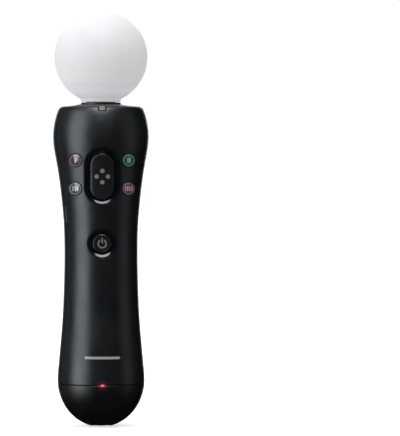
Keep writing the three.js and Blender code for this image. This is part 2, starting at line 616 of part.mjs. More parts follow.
// A silicone sheet with a dome under each face button, cut away round the edge switches.
function keypad() {
  const { front, back, domeTip, low, high, half, upperHalf, shoulder } = KEYPAD;
  const outline = bothSides([[half, low], [half, shoulder[0]], [upperHalf, shoulder[1]], [upperHalf, high]]);
  let sheet = pushedY(outline, [front, back]);
  const dome = (x, z, base, tip) => {
    const cone = new THREE.CylinderGeometry(base, tip, front - domeTip + 0.2, 14);
    return solidOf(cone.translate(x, (front + domeTip + 0.2) / 2, z));
  };
  sheet = sheet.add(dome(0, MAIN_BUTTON.z, 3.4, 2.4)).add(dome(0, HOME.z, 2.8, 1.9));
  for (const [x, z] of Object.values(ACTION_PLACES)) sheet = sheet.add(dome(x, z, 2.6, 1.8));
  const clearance = EDGE_SWITCH.half + 0.4;
  const room = [SIDE.z - clearance, SIDE.z + clearance];
  for (const side of [-1, 1]) {
    sheet = sheet.subtract(block(sided(side, EDGE_SWITCH.x[0] - GAP, 20), [-8, 0], room));
  }
  return sheet;
}

// ---------------------------------------------------------------- trigger
function triggerOutline() {
  const shape = new THREE.Shape();
  const face = TRIGGER_FACE.map(([y, z]) => new THREE.Vector2(y, z));
  shape.moveTo(face[0].x, face[0].y);
  shape.splineThru(face.slice(1));
  const angle = (y) => -Math.acos((y - PIVOT.y) / TRIGGER_SWEEP);
  shape.absarc(PIVOT.y, PIVOT.z, TRIGGER_SWEEP, angle(16.0), angle(8.2), true);
  shape.lineTo(6.6, 118);
  shape.lineTo(5.4, 134.6);
  shape.lineTo(PIVOT.y, PIVOT.z);
  return shape;
}

function trigger() {
  const { half, corner, wall, springHalf } = TRIGGER;
  const blade = pushedX(triggerOutline(), [-half, half], 2);
  const hub = barX(PIVOT.hub, -half, half, PIVOT.y, PIVOT.z);
  // round the lower corners, as the slot in the shell is rounded
  const seenFromBehind = roundedRect(2 * half, 60, corner, 0, PIVOT.z - TRIGGER_SWEEP + 30);
  let made = blade.add(hub).intersect(pushedY(seenFromBehind, [-5, 40]));
  // hollow back, and a gap in the hub for the spring
  made = made.subtract(pushedX(shapeOf(TRIGGER_POCKET), [wall - half, half - wall]));
  made = made.subtract(block([-springHalf, springHalf], [0, 10.4], [132.5, 142]));
  return made.subtract(barX(PIVOT.bore, -20, 20, PIVOT.y, PIVOT.z, 20));
}

// A round wire along a smooth curve through points.
function wire(points, radius, steps, curve = 'catmullrom') {
  const extrudePath = new THREE.CatmullRomCurve3(points.map((p) => new THREE.Vector3(...p)), false, curve);
  const options = { extrudePath, steps, curveSegments: 1, bevelEnabled: false };
  return solidOf(new THREE.ExtrudeGeometry(circle(radius, 0, 0), options));
}

// Torsion spring round the axle: one leg on the board, the other behind the blade.
function triggerSpring() {
  const { turns, radius, wire: thickness, half, board, blade } = SPRING;
  const perTurn = 10;
  const points = [[-half, ...board]];
  for (let i = 0; i <= turns * perTurn; i++) {
    const angle = (i / perTurn) * 2 * Math.PI + Math.PI * 1.15;
    const along = half * ((2 * i) / (turns * perTurn) - 1);
    points.push([along, PIVOT.y + radius * Math.cos(angle), PIVOT.z + radius * Math.sin(angle)]);
  }
  points.push([half, ...blade]);
  return wire(points, thickness, 36, 'centripetal');
}

function triggerBracket() {
  const { half, y, z, cheek, cheekY, cheekZ } = BRACKET;
  let bracket = block([-half, half], y, z);
  for (const side of [-1, 1]) {
    bracket = bracket.add(block(sided(side, half - cheek, half), [y[0], cheekY], cheekZ));
  }
  bracket = bracket.subtract(barX(PIVOT.axle + GAP, -20, 20, PIVOT.y, PIVOT.z, 20));
  return withBracketHoles(bracket);
}

// Screw holes through the bracket or the main board.
function withBracketHoles(solid) {
  const { x, z, radius } = BRACKET_SCREW;
  return [-x, x].reduce((rest, at) => rest.subtract(barY(radius + GAP, -4, 3, at, z, 16)), solid);
}

function bracketScrew(x) {
  const { z, radius, headRadius, headHeight, tipY } = BRACKET_SCREW;
  const headY = BRACKET.y[1] + GAP;
  return barY(radius, tipY, headY, x, z, 12).add(barY(headRadius, headY, headY + headHeight, x, z, 16));
}

// ---------------------------------------------------------------- boards and electrics
function mainBoard() {
  const { front, back, low, high, footHalf, middleHalf, headHalf, middle, shoulder } = BOARD;
  const outline = bothSides([
    [footHalf, low], [footHalf, shoulder[0]], [middleHalf, middle[0]], [middleHalf, middle[1]],
    [headHalf, shoulder[1]], [headHalf, high],
  ]);
  return withBracketHoles(pushedY(outline, [front, back]));
}

// A part on the rear face of the main board.
function boardPart(x, back, z) {
  return block(x, [BOARD_PART_Y, back], z);
}

function tailBoard() {
  const board = disc(TAIL_BOARD.radius, TAIL_BOARD.low, TAIL_BOARD.high);
  return board.subtract(block([-STRAP.half - 2.2, STRAP.half + 2.2], [STRAP.minY, 30], [0, 20]));
}

function batteryCradle() {
  const { halfX, halfY, low, high } = BATTERY;
  const tray = (grow, y) => block([-halfX - grow, halfX + grow], y, [low - grow, high + grow]);
  const outer = tray(CRADLE_WALL + GAP, [-halfY - CRADLE_WALL - GAP, 2]);
  return outer.subtract(tray(GAP, [-halfY - GAP, 10]));
}

function battery() {
  const { halfX, halfY, low, high } = BATTERY;
  return pushedZ(roundedRect(2 * halfX, 2 * halfY, 3.0), [low, high]);
}

// Lead from the top of the battery down into its socket on the main board.
function batteryLead() {
  return wire([[8.0, 3.3, 77.2], [8.4, 3.6, 78.6], [9.6, 2.4, 80.0], [10.2, 1.0, 81.0]], 0.6, 8);
}

function motorWeight() {
  const { y, weightRadius, weightHub, weightZ, shaft } = MOTOR;
  const round = barZ(weightRadius, ...weightZ, 0, y, 24);
  const half = round.subtract(block([-10, 10], [y + 0.8, 20], [90, 110]));
  const hub = barZ(weightHub, ...weightZ, 0, y, 16);
  return half.add(hub).subtract(barZ(shaft + GAP / 2, 90, 110, 0, y, 12));
}

// Rubber sleeve with a foot that stands on the main board.
function motorBoot() {
  const { y, radius, boot, bootZ } = MOTOR;
  const sleeve = barZ(radius + boot, ...bootZ, 0, y).add(block([-3.2, 3.2], [BOARD_PART_Y, 4], bootZ));
  return sleeve.subtract(barZ(radius + GAP / 2, 80, 110, 0, y));
}

function vibrationMotor() {
  const { y, radius, low, high, shaft, shaftDepth } = MOTOR;
  const bore = barZ(shaft + GAP / 2, high - shaftDepth - 0.4, high + 1, 0, y, 12);
  return barZ(radius, low, high, 0, y).subtract(bore);
}

function caseScrew([x, z]) {
  const { headRadius, headY, shankRadius, tipY, crossHalf, crossWidth, crossDepth } = SCREW;
  const shank = barY(shankRadius, tipY, headY[0] + 0.2, x, z, 12);
  const groove = (a, b) => block([x - a, x + a], [headY[1] - crossDepth, 9], [z - b, z + b]);
  const head = barY(headRadius, ...headY, x, z, 16).subtract(groove(crossHalf, crossWidth));
  return head.subtract(groove(crossWidth, crossHalf)).add(shank);
}

// ---------------------------------------------------------------- assembly
const controller = new THREE.Group();

function place(name, solid, look) {
  const { numProp, vertProperties, triVerts } = solid.getMesh();
  const corners = new Float32Array(triVerts.length * 3);
  triVerts.forEach((v, i) => corners.set(vertProperties.subarray(v * numProp, v * numProp + 3), i * 3));
  const geometry = new THREE.BufferGeometry().setAttribute('position', new THREE.BufferAttribute(corners, 3));
  geometry.computeVertexNormals();
  const mesh = new THREE.Mesh(geometry, look);
  mesh.name = name;
  controller.add(mesh);
}

// head
place('light_sphere', lightSphere(), LOOK.sphere);
place('sphere_seat', sphereSeat(), LOOK.collar);
place('top_collar', topCollar(), LOOK.collar);
place('light_guide', lightGuide(), LOOK.clear);
place('light_board', disc(LIGHT_BOARD.radius, ...LIGHT_BOARD.z, 24), LOOK.board);
place('rgb_led', block([-RGB_LED.half, RGB_LED.half], [-RGB_LED.half, RGB_LED.half], RGB_LED.z), LOOK.white);

// housing
place('front_shell', frontShell(), LOOK.shell);
place('rear_shell', rearShell(), LOOK.shell);
place('tail_cap', tailCap(), LOOK.shell);
place('rating_plate', ratingPlate(), LOOK.plate);
CASE_SCREWS.forEach((at, i) => place(`case_screw_${i + 1}`, caseScrew(at), LOOK.steel));

// buttons
place('main_button', mainButton(), LOOK.button);
place('home_button', homeButton(), LOOK.button);
for (const [name, at] of Object.entries(ACTION_PLACES)) {
  place(`action_button_${name}`, actionButton(at), LOOK.smoke);
}
for (const [name, side] of [['start', 1], ['select', -1]]) {
  place(`${name}_button`, sideButton(side), LOOK.button);
  place(`${name}_plunger`, switchPlunger(side), LOOK.white);
  place(`${name}_switch`, edgeSwitch(side), LOOK.chip);
}
place('button_keypad', keypad(), LOOK.rubber);

// trigger
place('trigger', trigger(), LOOK.trigger);
place('trigger_axle', barX(PIVOT.axle, -PIVOT.axleHalf, PIVOT.axleHalf, PIVOT.y, PIVOT.z, 20), LOOK.steel);
place('trigger_spring', triggerSpring(), LOOK.steel);
place('trigger_bracket', triggerBracket(), LOOK.chip);
[-BRACKET_SCREW.x, BRACKET_SCREW.x].forEach((x, i) => {
  place(`bracket_screw_${i + 1}`, bracketScrew(x), LOOK.steel);
});
place('trigger_sensor', boardPart([-4.5, 4.5], 0.3, [120, 128]), LOOK.rubber);

// boards
place('main_board', mainBoard(), LOOK.board);
place('processor_chip', boardPart([-5, 5], 0.3, [104.5, 114.5]), LOOK.chip);
place('radio_module', boardPart([-11.5, -2.5], 0.7, [115.6, 119.4]), LOOK.steel);
place('motion_sensor', boardPart([3, 8], -0.1, [142, 146.4]), LOOK.chip);
place('tail_board', tailBoard(), LOOK.board);

// power, vibration, leads
place('battery', battery(), LOOK.cell);
place('battery_cradle', batteryCradle(), LOOK.chip);
place('battery_socket', boardPart([8, 12.6], 2.6, [81.5, 85.5]), LOOK.white);
place('battery_lead', batteryLead(), LOOK.red);
place('vibration_motor', vibrationMotor(), LOOK.steel);
place('motor_boot', motorBoot(), LOOK.rubber);
const shaftFoot = MOTOR.high - MOTOR.shaftDepth;
place('motor_shaft', barZ(MOTOR.shaft, shaftFoot, MOTOR.shaftTop, 0, MOTOR.y, 12), LOOK.steel);
place('motor_weight', motorWeight(), LOOK.steel);

// tail
place('usb_port', socket(USB, 0.9), LOOK.steel);
place('expansion_port', socket(EXPANSION, 0.6), LOOK.chip);
for (const [name, side] of [['right', 1], ['left', -1]]) {
  place(`charge_contact_${name}`, contactBlock(side, 0), LOOK.gold);
}
place('status_lens', statusLens(), LOOK.red);
place('status_led', block([-LENS.ledHalf, LENS.ledHalf], LENS.ledY, [LENS.low, LENS.high]), LOOK.white);
place('strap_lock', strapLock(), LOOK.button);
place('strap_bar', strapBar(), LOOK.steel);
place('reset_switch', resetSwitch(), LOOK.chip);
place('reset_plunger', barY(RESET.plunger, ...RESET.plungerY, RESET.x, RESET.z, 12), LOOK.white);

export default controller;
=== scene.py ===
"""The look of a hand-held motion controller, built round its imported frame.

Shapes are worked out in millimetres on the frame's own axes (+Z up the handle, -Y the button side, +X to the
user's right), and become metres when a piece is made.
"""

import json
import math

import bmesh
import bpy
import numpy as np
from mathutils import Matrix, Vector


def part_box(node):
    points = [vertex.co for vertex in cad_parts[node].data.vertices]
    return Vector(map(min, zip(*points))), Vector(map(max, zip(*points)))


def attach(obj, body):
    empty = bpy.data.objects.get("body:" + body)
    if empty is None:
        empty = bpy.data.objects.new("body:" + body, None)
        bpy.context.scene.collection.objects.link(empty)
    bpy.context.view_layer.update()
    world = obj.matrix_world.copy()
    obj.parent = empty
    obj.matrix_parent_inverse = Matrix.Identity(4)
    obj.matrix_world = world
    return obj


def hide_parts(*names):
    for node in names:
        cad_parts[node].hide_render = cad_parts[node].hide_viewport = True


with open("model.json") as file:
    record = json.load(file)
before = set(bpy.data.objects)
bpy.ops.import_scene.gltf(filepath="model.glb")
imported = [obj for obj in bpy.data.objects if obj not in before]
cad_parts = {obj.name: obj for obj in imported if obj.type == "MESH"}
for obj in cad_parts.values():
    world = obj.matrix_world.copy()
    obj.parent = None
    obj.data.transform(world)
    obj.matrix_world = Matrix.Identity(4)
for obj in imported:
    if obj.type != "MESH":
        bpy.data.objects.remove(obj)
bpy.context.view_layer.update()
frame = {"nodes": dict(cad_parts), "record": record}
NODES = frame["nodes"]
BODY_OF = {node: body for body, nodes in frame["record"]["behaviour"]["bodies"].items() for node in nodes}
SLOT_OF = {part["node"]: part["material_slot"] for part in frame["record"]["subparts"]}
PI = math.pi

# ------------ sizes, in millimetres
# Handle outline: height and outer radius.
HANDLE = [
    (22.0, 21.0), (32.0, 20.25), (45.0, 19.1), (58.0, 18.25), (71.0, 17.78), (84.0, 17.6), (97.0, 17.92),
    (108.7, 18.9), (117.4, 19.92), (126.0, 21.22), (133.4, 22.55), (139.2, 23.0), (144.9, 22.5),
    (149.3, 21.5), (152.0, 20.55), (153.6, 19.6),
]
DOME_RADIUS, DOME_HEIGHT, DOME_Z = 21.0, 22.75, 22.0
# Floor of the finger scoop: height and distance behind the axis.
SCOOP = [
    (106.0, 24.0), (109.0, 20.4), (112.0, 17.5), (116.0, 15.1), (122.0, 13.1), (128.0, 12.3), (134.0, 12.3),
    (139.0, 12.9), (142.6, 13.9), (145.2, 15.4), (147.0, 17.6), (148.0, 21.0),
]
SCOOP_RIM = (18.9, 18.4, 128.5)  # half width, half height and middle height of the scoop's oval rim
WALL_START = 0.968  # share of the rim at which the scoop's floor turns up into its wall
WALL_SLOPES = (30.0, 90.0, 138.0, 146.0)  # its slope low down and high up, and the heights it changes between
RIM_ROUNDING = 2.4
WALL = 1.8
SEAM_HALF = 0.07  # half of the fine gap between the two shells
FILLET = 0.3
SEAM_Z, SEAM_Z_HALF = 20.4, 0.1  # the seam between the shells and the tail, and half of its gap
SHELL_TOP = 153.2
GAP, SIDE_GAP, PLATE_GAP = 0.3, 0.13, 0.26  # round the front buttons, the side buttons and the rear panel

# Rounded rectangles on the skin: u is across and v is up.
MAIN = dict(u=0.0, v=120.1, half_u=5.65, half_v=10.95, corner=5.65)
HOME = dict(u=0.0, v=88.0, half_u=4.5, half_v=4.5, corner=4.5)
SIDE = dict(u=-5.0, v=101.5, half_u=1.8, half_v=4.5, corner=1.8)
# Dish round the main button; the home button's is smaller in proportion.
DISH_DEPTH, DISH_SLOPE, DISH_MARGIN, HOME_DISH = 1.45, 0.6, 2.7, 0.85
DISH_RIM_ROUNDING, DISH_FLOOR_ROUNDING = 0.5, 0.4
ACTION_RADIUS = 3.0
ACTIONS = {
    "action_button_upper_left": (-12.8, 127.8), "action_button_upper_right": (12.8, 127.8),
    "action_button_lower_left": (-12.8, 114.3), "action_button_lower_right": (12.8, 114.3),
}
SCREWS = [(17.7, 143.7), (-17.7, 143.7), (15.1, 26.8), (-15.1, 26.8)]
SCREW_BORE, BOSS_RADIUS, BOSS_START = 2.3, 2.7, 3.1
RESET, RESET_HOLE = (10.6, 35.6), 1.35
SLOT = dict(u=0.0, v=123.05, half_u=9.65, half_v=11.85, corner=(1.2, 1.2, 5.2, 5.2))
# Long panel on the back: half width, half width of its foot, lowest z, top of the cut-off corners, highest z,
# corner radius.
PLATE = (8.3, 6.9, 20.9, 26.5, 84.3, 2.6)
PLATE_SPINE = (29.0, 76.0)
LENS = dict(u=0.0, v=SEAM_Z, half_u=1.5, half_v=0.9, corner=0.3)
TAB_NOTCH = dict(u=0.0, v=156.0, half_u=2.0, half_v=4.75, corner=0.4)
LOCK_WINDOW = dict(u=0.0, v=13.75, half_u=2.0, half_v=2.55, corner=0.9)
COARSE = dict(turn=5, straight=6)  # points of a small outline
SHARP = 35  # edges sharper than this many degrees aren't shaded smooth


# ------------ curves and surfaces
def extent(node):
    """Lowest and highest corner of a CAD node, in millimetres."""
    low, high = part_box(node)
    return np.array(low) * 1000, np.array(high) * 1000


def disc(u, v, r):
    """A circle, as a rounded rectangle."""
    return dict(u=u, v=v, half_u=r, half_v=r, corner=r)


def hermite(start, end, start_slope, end_slope, t):
    """Smooth curve between two values."""
    value = start * (2 * t**3 - 3 * t**2 + 1) + start_slope * (t**3 - 2 * t**2 + t)
    return value + end * (3 * t**2 - 2 * t**3) + end_slope * (t**3 - t**2)


def through(stations, z):
    """Smooth curve through (height, value) stations."""
    zs, vs = np.array(stations, float).T
    slopes = np.zeros(len(zs))
    slopes[1:-1] = (vs[2:] - vs[:-2]) / (zs[2:] - zs[:-2])
    slopes[-1] = (vs[-1] - vs[-2]) / (zs[-1] - zs[-2])
    z = np.asarray(z, float)
    i = np.clip(np.searchsorted(zs, z) - 1, 0, len(zs) - 2)
    h = zs[i + 1] - zs[i]
    return hermite(vs[i], vs[i + 1], slopes[i] * h, slopes[i + 1] * h, np.clip((z - zs[i]) / h, 0, 1))


def radius(z):
    """Outer radius of the handle and of the tail dome."""
    z = np.asarray(z, float)
    drop = np.clip((DOME_Z - z) / DOME_HEIGHT, 0, 1)
    return np.where(z >= DOME_Z, through(HANDLE, z), DOME_RADIUS * np.sqrt(1 - drop**2))


def smooth_step(low, high, value):
    t = np.clip((value - low) / (high - low), 0, 1)
    return t * t * (3 - 2 * t)


def soft_min(a, b, width):
    h = np.clip(0.5 + 0.5 * (b - a) / width, 0, 1)
    return b * (1 - h) + a * h - width * h * (1 - h)


def outside(x, z, u, v, half_u, half_v, corner):
    """Distance outside a rounded rectangle."""
    dx = np.maximum(np.abs(x - u) - (half_u - corner), 0)
    dz = np.maximum(np.abs(z - v) - (half_v - corner), 0)
    return np.hypot(dx, dz) - corner


def dishes(x, z):
    """Depth of the shallow dishes round the two centre buttons: a conical wall with rounded edges."""
    depth = 0
    for button, scale in ((MAIN, 1.0), (HOME, HOME_DISH)):
        wall = DISH_SLOPE * (DISH_MARGIN * scale - outside(x, z, **button))
        wall = -soft_min(-wall, 0.0, DISH_RIM_ROUNDING)
        depth = depth + soft_min(DISH_DEPTH * scale, wall, DISH_FLOOR_ROUNDING)
    return depth


def scoop(x, z, inset):
    """Distance behind the axis of the finger scoop's floor and its oval wall."""
    half_u, half_v, middle = SCOOP_RIM
    oval = np.hypot(x / (half_u + inset), (z - middle) / (half_v + inset))
    gentle, steep, low, high = WALL_SLOPES
    slope = gentle + (steep - gentle) * smooth_step(low, high, z)
    wall = slope * np.maximum(oval - WALL_START, 0)
    return through(SCOOP, z) + wall - inset


def skin(side, x, z, inset=0.0):
    """Distance of the handle's skin from the XZ plane: side -1 is the front, +1 the rear."""
    body = np.sqrt(np.maximum((radius(z) - inset) ** 2 - np.asarray(x, float) ** 2, 0))
    if side < 0:
        return body - dishes(x, z)
    return soft_min(body, scoop(x, z, inset), RIM_ROUNDING)


def bare_skin(u, v):
    """As skin, without dishes or scoop."""
    return np.sqrt(np.maximum(radius(v) ** 2 - u**2, 0))


# ------------ mesh making
def placed(name, data):
    """A new object in the scene."""
    obj = bpy.data.objects.new(name, data)
    bpy.context.scene.collection.objects.link(obj)
    return obj


def new_object(name, points, faces, smooth=SHARP):
    """A mesh object from points in millimetres, its faces turned outwards and smooth up to an angle."""
    mesh = bpy.data.meshes.new(name)
    mesh.from_pydata((np.asarray(points, float) * 0.001).tolist(), [], [list(map(int, f)) for f in faces])
    bm = bmesh.new()
    bm.from_mesh(mesh)
    bmesh.ops.remove_doubles(bm, verts=bm.verts, dist=1e-7)
    bmesh.ops.dissolve_degenerate(bm, edges=bm.edges, dist=1e-8)
    bmesh.ops.recalc_face_normals(bm, faces=bm.faces)
    bm.to_mesh(mesh)
    bm.free()
    shade(mesh, smooth)
    return placed(name, mesh)


def shade(mesh, angle):
    mesh.polygons.foreach_set("use_smooth", [True] * len(mesh.polygons))
    mesh.set_sharp_from_angle(angle=math.radians(angle))
    mesh.update()


def loft(rings, ends=True):
    """Points and faces of a skin over equal rings of points."""
    rings = np.asarray(rings, float)
    m, n, _ = rings.shape
    faces = []
    for i in range(m - 1):
        for j in range(n):
            k = (j + 1) % n
            faces.append((i * n + j, i * n + k, (i + 1) * n + k, (i + 1) * n + j))
    if ends:
        faces.append(tuple(range(n)))
        faces.append(tuple((m - 1) * n + j for j in range(n)))
    return rings.reshape(-1, 3), faces


def lathe(profile, segments, closed=False):
    """A turned shape round Z. Its profile, (radius, z), starts and ends on the axis or is a closed loop."""
    angles = np.linspace(0, 2 * PI, segments, endpoint=False)
    profile = [(max(r, 0.0005), z) for r, z in profile]
    if closed:
        profile.append(profile[0])
    rings = [np.stack([r * np.cos(angles), r * np.sin(angles), np.full(segments, z)], 1) for r, z in profile]
    return loft(rings, ends=not closed)


def lathe_y(x, z, *shape, **kind):
    """The same turned round an axis along Y."""
    points, faces = lathe(*shape, **kind)
    return points[:, (0, 2, 1)] + (x, 0, z), faces


def arc(cx, cy, r, start, end, count):
    """Points of an arc, angles in degrees."""
    return [(cx + r * math.cos(t), cy + r * math.sin(t)) for t in np.radians(np.linspace(start, end, count))]


def rounded(u, v, half_u, half_v, corner, grow=0.0, turn=14, straight=10):
    """Outline of a rounded rectangle, with the same number of points whatever it is grown by."""
    a, b = half_u + grow, half_v + grow
    points = []
    for k, (su, sv) in enumerate([(1, 1), (-1, 1), (-1, -1), (1, -1)]):
        r = max(min(np.broadcast_to(corner, 4)[k] + grow, a, b), 0.02)
        t = np.linspace(k * PI / 2, (k + 1) * PI / 2, turn)
        points.append(np.stack([u + su * (a - r) + r * np.cos(t), v + sv * (b - r) + r * np.sin(t)], 1))
    outline = []
    for k in range(4):
        outline.append(points[k])
        start, end = points[k][-1], points[(k + 1) % 4][0]
        outline.append(start + (end - start) * np.linspace(0, 1, straight + 2)[1:-1, None])
    return np.concatenate(outline)


def facing(side):
    """Turns (u, v, distance) into a point on the front, rear, left or right of the handle."""
    return {
        "front": lambda u, v, d: np.stack([u, -d, v], 1),
        "rear": lambda u, v, d: np.stack([u, d, v], 1),
        "right": lambda u, v, d: np.stack([d, u, v], 1),
        "left": lambda u, v, d: np.stack([-d, u, v], 1),
    }[side]


def on_skin(side, outline, surface, profile):
    """Rings that follow a surface: profile is (growth of the outline, distance proud of the surface)."""
    place = facing(side)
    rings = []
    for grow, proud in profile:
        points = outline(grow)
        rings.append(place(points[:, 0], points[:, 1], surface(points[:, 0], points[:, 1]) + proud))
    return rings


def hole_profile(depth, lip):
    """A straight hole whose mouth is rounded."""
    curve = [(lip * (1 - math.cos(t)), lip * (math.sin(t) - 1)) for t in np.radians([0, 20, 40, 60, 78])]
    return [(0.0, -depth)] + curve + [(curve[-1][0] + 0.02, 3.0)]


def cap_profile(size, proud, edge, crown, depth, rings):
    """A button's side, rounded edge and crowned top, ending near its middle."""
    turn = np.linspace(0, PI / 2, 7)
    side = [(0.0, -depth)] + [(-edge * (1 - math.cos(t)), proud - edge + edge * math.sin(t)) for t in turn]
    inner = np.linspace(edge, size - 0.25, rings)[1:]
    return side + [(-g, proud + crown * (1 - ((size - g) / (size - edge)) ** 2)) for g in inner]


def inlay(side, shape, surface, profile, **detail):
    """A solid in the outline of a rounded rectangle, with a face that follows a surface."""
    return loft(on_skin(side, lambda grow: rounded(**shape, grow=grow, **detail), surface, profile))


def hole(side, shape, surface, depth, lip, room=0.0, **detail):
    """A cutter for a hole with some room round a rounded rectangle."""
    outline = lambda grow: rounded(**shape, grow=grow + room, **detail)
    return loft(on_skin(side, outline, surface, hole_profile(depth, lip)))


def joined(*parts):
    """Several (points, faces) shapes as one."""
    points, faces, base = [], [], 0
    for part_points, part_faces in parts:
        points.append(np.asarray(part_points, float))
        faces += [tuple(i + base for i in face) for face in part_faces]
        base += len(part_points)
    return np.concatenate(points), faces


def settle(obj, name, angle=SHARP):
    """Gives an object the mesh that its modifiers make."""
    mesh = bpy.data.meshes.new_from_object(obj.evaluated_get(bpy.context.evaluated_depsgraph_get()))
    mesh.name = name
    obj.modifiers.clear()
    obj.data = mesh
    shade(mesh, angle)


def cut(obj, *shapes):
    """Cuts shapes that don't touch each other out of an object."""
    cutter = new_object(obj.name + "_cutter", *joined(*shapes))
    modifier = obj.modifiers.new("cut", "BOOLEAN")
    modifier.operation = "DIFFERENCE"
    modifier.solver = "EXACT"
    modifier.object = cutter
    settle(obj, obj.name)
    bpy.data.objects.remove(cutter)
    return obj


def add_to(obj, other):
    """Adds another object's mesh to this one."""
    bm = bmesh.new()
    bm.from_mesh(obj.data)
    bm.from_mesh(other.data)
    bm.to_mesh(obj.data)
    bm.free()
    bpy.data.objects.remove(other)
    shade(obj.data, SHARP)


def block(low, high):
    (x0, y0, z0), (x1, y1, z1) = low, high
    ring = [(x0, y0), (x1, y0), (x1, y1), (x0, y1)]
    return loft([[(x, y, z0) for x, y in ring], [(x, y, z1) for x, y in ring]])


def finish_piece(obj, node, look):
    """Puts a piece in the place of its CAD node, on the same body, with the look it is given."""
    obj.name = node + "_look"
    obj.data.materials.clear()
    obj.data.materials.append(LOOKS[look])
    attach(obj, BODY_OF[node])
    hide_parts(node)


# ------------ materials
class Field:
    """A number that varies over a surface. Arithmetic on it adds Math nodes."""

    def __init__(self, tree, socket):
        self.tree, self.socket = tree, socket

    def math(self, operation, *others):
        node = self.tree.nodes.new("ShaderNodeMath")
        node.operation = operation
        for i, value in enumerate((self, *others)):
            if isinstance(value, Field):
                self.tree.links.new(value.socket, node.inputs[i])
            else:
                node.inputs[i].default_value = value
        return Field(self.tree, node.outputs[0])

    def __add__(self, other):
        return self.math("ADD", other)

    def __sub__(self, other):
        return self.math("SUBTRACT", other)

    def __mul__(self, other):
        return self.math("MULTIPLY", other)

    def __abs__(self):
        return self.math("ABSOLUTE")

    def at_least(self, other):
        return self.math("MAXIMUM", other)

    def at_most(self, other):
        return self.math("MINIMUM", other)

    def hypot(self, other):
        return (self * self + other * other).math("SQRT")

    def spread(self, low, high, to_low, to_high, smooth=False):
        """Maps low..high of this number to to_low..to_high."""
        node = self.tree.nodes.new("ShaderNodeMapRange")
        node.interpolation_type = "SMOOTHSTEP" if smooth else "LINEAR"
        self.tree.links.new(self.socket, node.inputs["Value"])
        for name, value in zip(("From Min", "From Max", "To Min", "To Max"), (low, high, to_low, to_high)):
            node.inputs[name].default_value = value
        return Field(self.tree, node.outputs["Result"])

    def mark(self, edge=0.06):
        """1 inside a shape whose signed distance this is, 0 outside."""
        return self.spread(-edge, edge, 1.0, 0.0, smooth=True)


class Surface:
    """A Principled material under construction, with millimetre coordinates."""

    def __init__(self, name, color, roughness, metallic=0.0):
        self.material = bpy.data.materials.new(name)
        self.material.use_nodes = True
        self.tree = self.material.node_tree
        self.shader = self.tree.nodes["Principled BSDF"]
        self.shader.inputs["Metallic"].default_value = metallic
        self.color, self.roughness = color, roughness
        coordinates = self.node("TexCoord")
        scale = self.node("VectorMath")
        scale.operation = "SCALE"
        scale.inputs["Scale"].default_value = 1000.0
        self.link(coordinates.outputs["Object"], scale.inputs[0])
        self.position = scale.outputs[0]
        split = self.node("SeparateXYZ")
        self.link(self.position, split.inputs[0])
        self.x, self.y, self.z = (Field(self.tree, split.outputs[i]) for i in range(3))
        self.base = self.bumps = None
        self.polish = None  # where the mould was polished, and the surface with it

    def node(self, kind):
        return self.tree.nodes.new("ShaderNode" + kind)

    def link(self, source, target):
        self.tree.links.new(source, target)

    def noise(self, size, detail=3.0, stretch=(1, 1, 1)):
        """Noise with features of about a size in millimetres."""
        source = self.position
        if stretch != (1, 1, 1):
            node = self.node("VectorMath")
            node.operation = "MULTIPLY"
            node.inputs[1].default_value = stretch
            self.link(source, node.inputs[0])
            source = node.outputs[0]
        node = self.node("TexNoise")
        node.inputs["Scale"].default_value = 1.0 / size
        node.inputs["Detail"].default_value = detail
        node.inputs["Roughness"].default_value = 0.55
        self.link(source, node.inputs["Vector"])
        return Field(self.tree, node.outputs[0])

    def mix(self, factor, first, second):
        """A colour between two; each is a colour or a socket."""
        node = self.node("Mix")
        node.data_type = "RGBA"
        self.link(factor.socket, node.inputs[0])
        for socket, value in ((node.inputs[6], first), (node.inputs[7], second)):
            if isinstance(value, bpy.types.NodeSocket):
                self.link(value, socket)
            else:
                socket.default_value = (*value, 1.0)
        return node.outputs[2]

    def mottle(self, size, amount):
        """Gentle light and dark variation of the base colour."""
        light = tuple(min(c * (1 + amount), 1) for c in self.color)
        dark = tuple(c * (1 - amount) for c in self.color)
        self.base = self.mix(self.noise(size).spread(0.35, 0.65, 0.0, 1.0), dark, light)

    def over(self, factor, color):
        """Lays a colour over the base where the factor is 1."""
        self.base = self.mix(factor, self.base, color)

    def bump(self, height, distance, strength=1.0):
        node = self.node("Bump")
        node.inputs["Strength"].default_value = strength
        node.inputs["Distance"].default_value = distance * 0.001
        self.link(height.socket, node.inputs["Height"])
        if self.bumps:
            self.link(self.bumps, node.inputs["Normal"])
        self.bumps = node.outputs[0]

    def wear(self, amount):
        """Slightly paler plastic where edges have been rubbed."""
        geometry = self.node("NewGeometry")
        sharp = Field(self.tree, geometry.outputs["Pointiness"]).spread(0.52, 0.6, 0.0, amount)
        rubbed = sharp * self.noise(3.0).spread(0.4, 0.62, 0.0, 1.0)
        self.over(rubbed, tuple(min(c * 3 + 0.04, 1) for c in self.color))

    def done(self, rough_noise=None, rough_spread=0.04, **inputs):
        """Links everything up; inputs are the shader's own constant settings."""
        self.link(self.base, self.shader.inputs["Base Color"])
        source = rough_noise or self.noise(9.0)
        rough = source.spread(0.3, 0.7, self.roughness - rough_spread, self.roughness + rough_spread)
        if self.polish:
            rough = rough * self.polish.spread(0.0, 1.0, 1.0, 0.35)
        self.link(rough.socket, self.shader.inputs["Roughness"])
        if self.bumps:
            self.link(self.bumps, self.shader.inputs["Normal"])
        for name, value in inputs.items():
            self.shader.inputs[name.replace("_", " ")].default_value = value
        return self.material


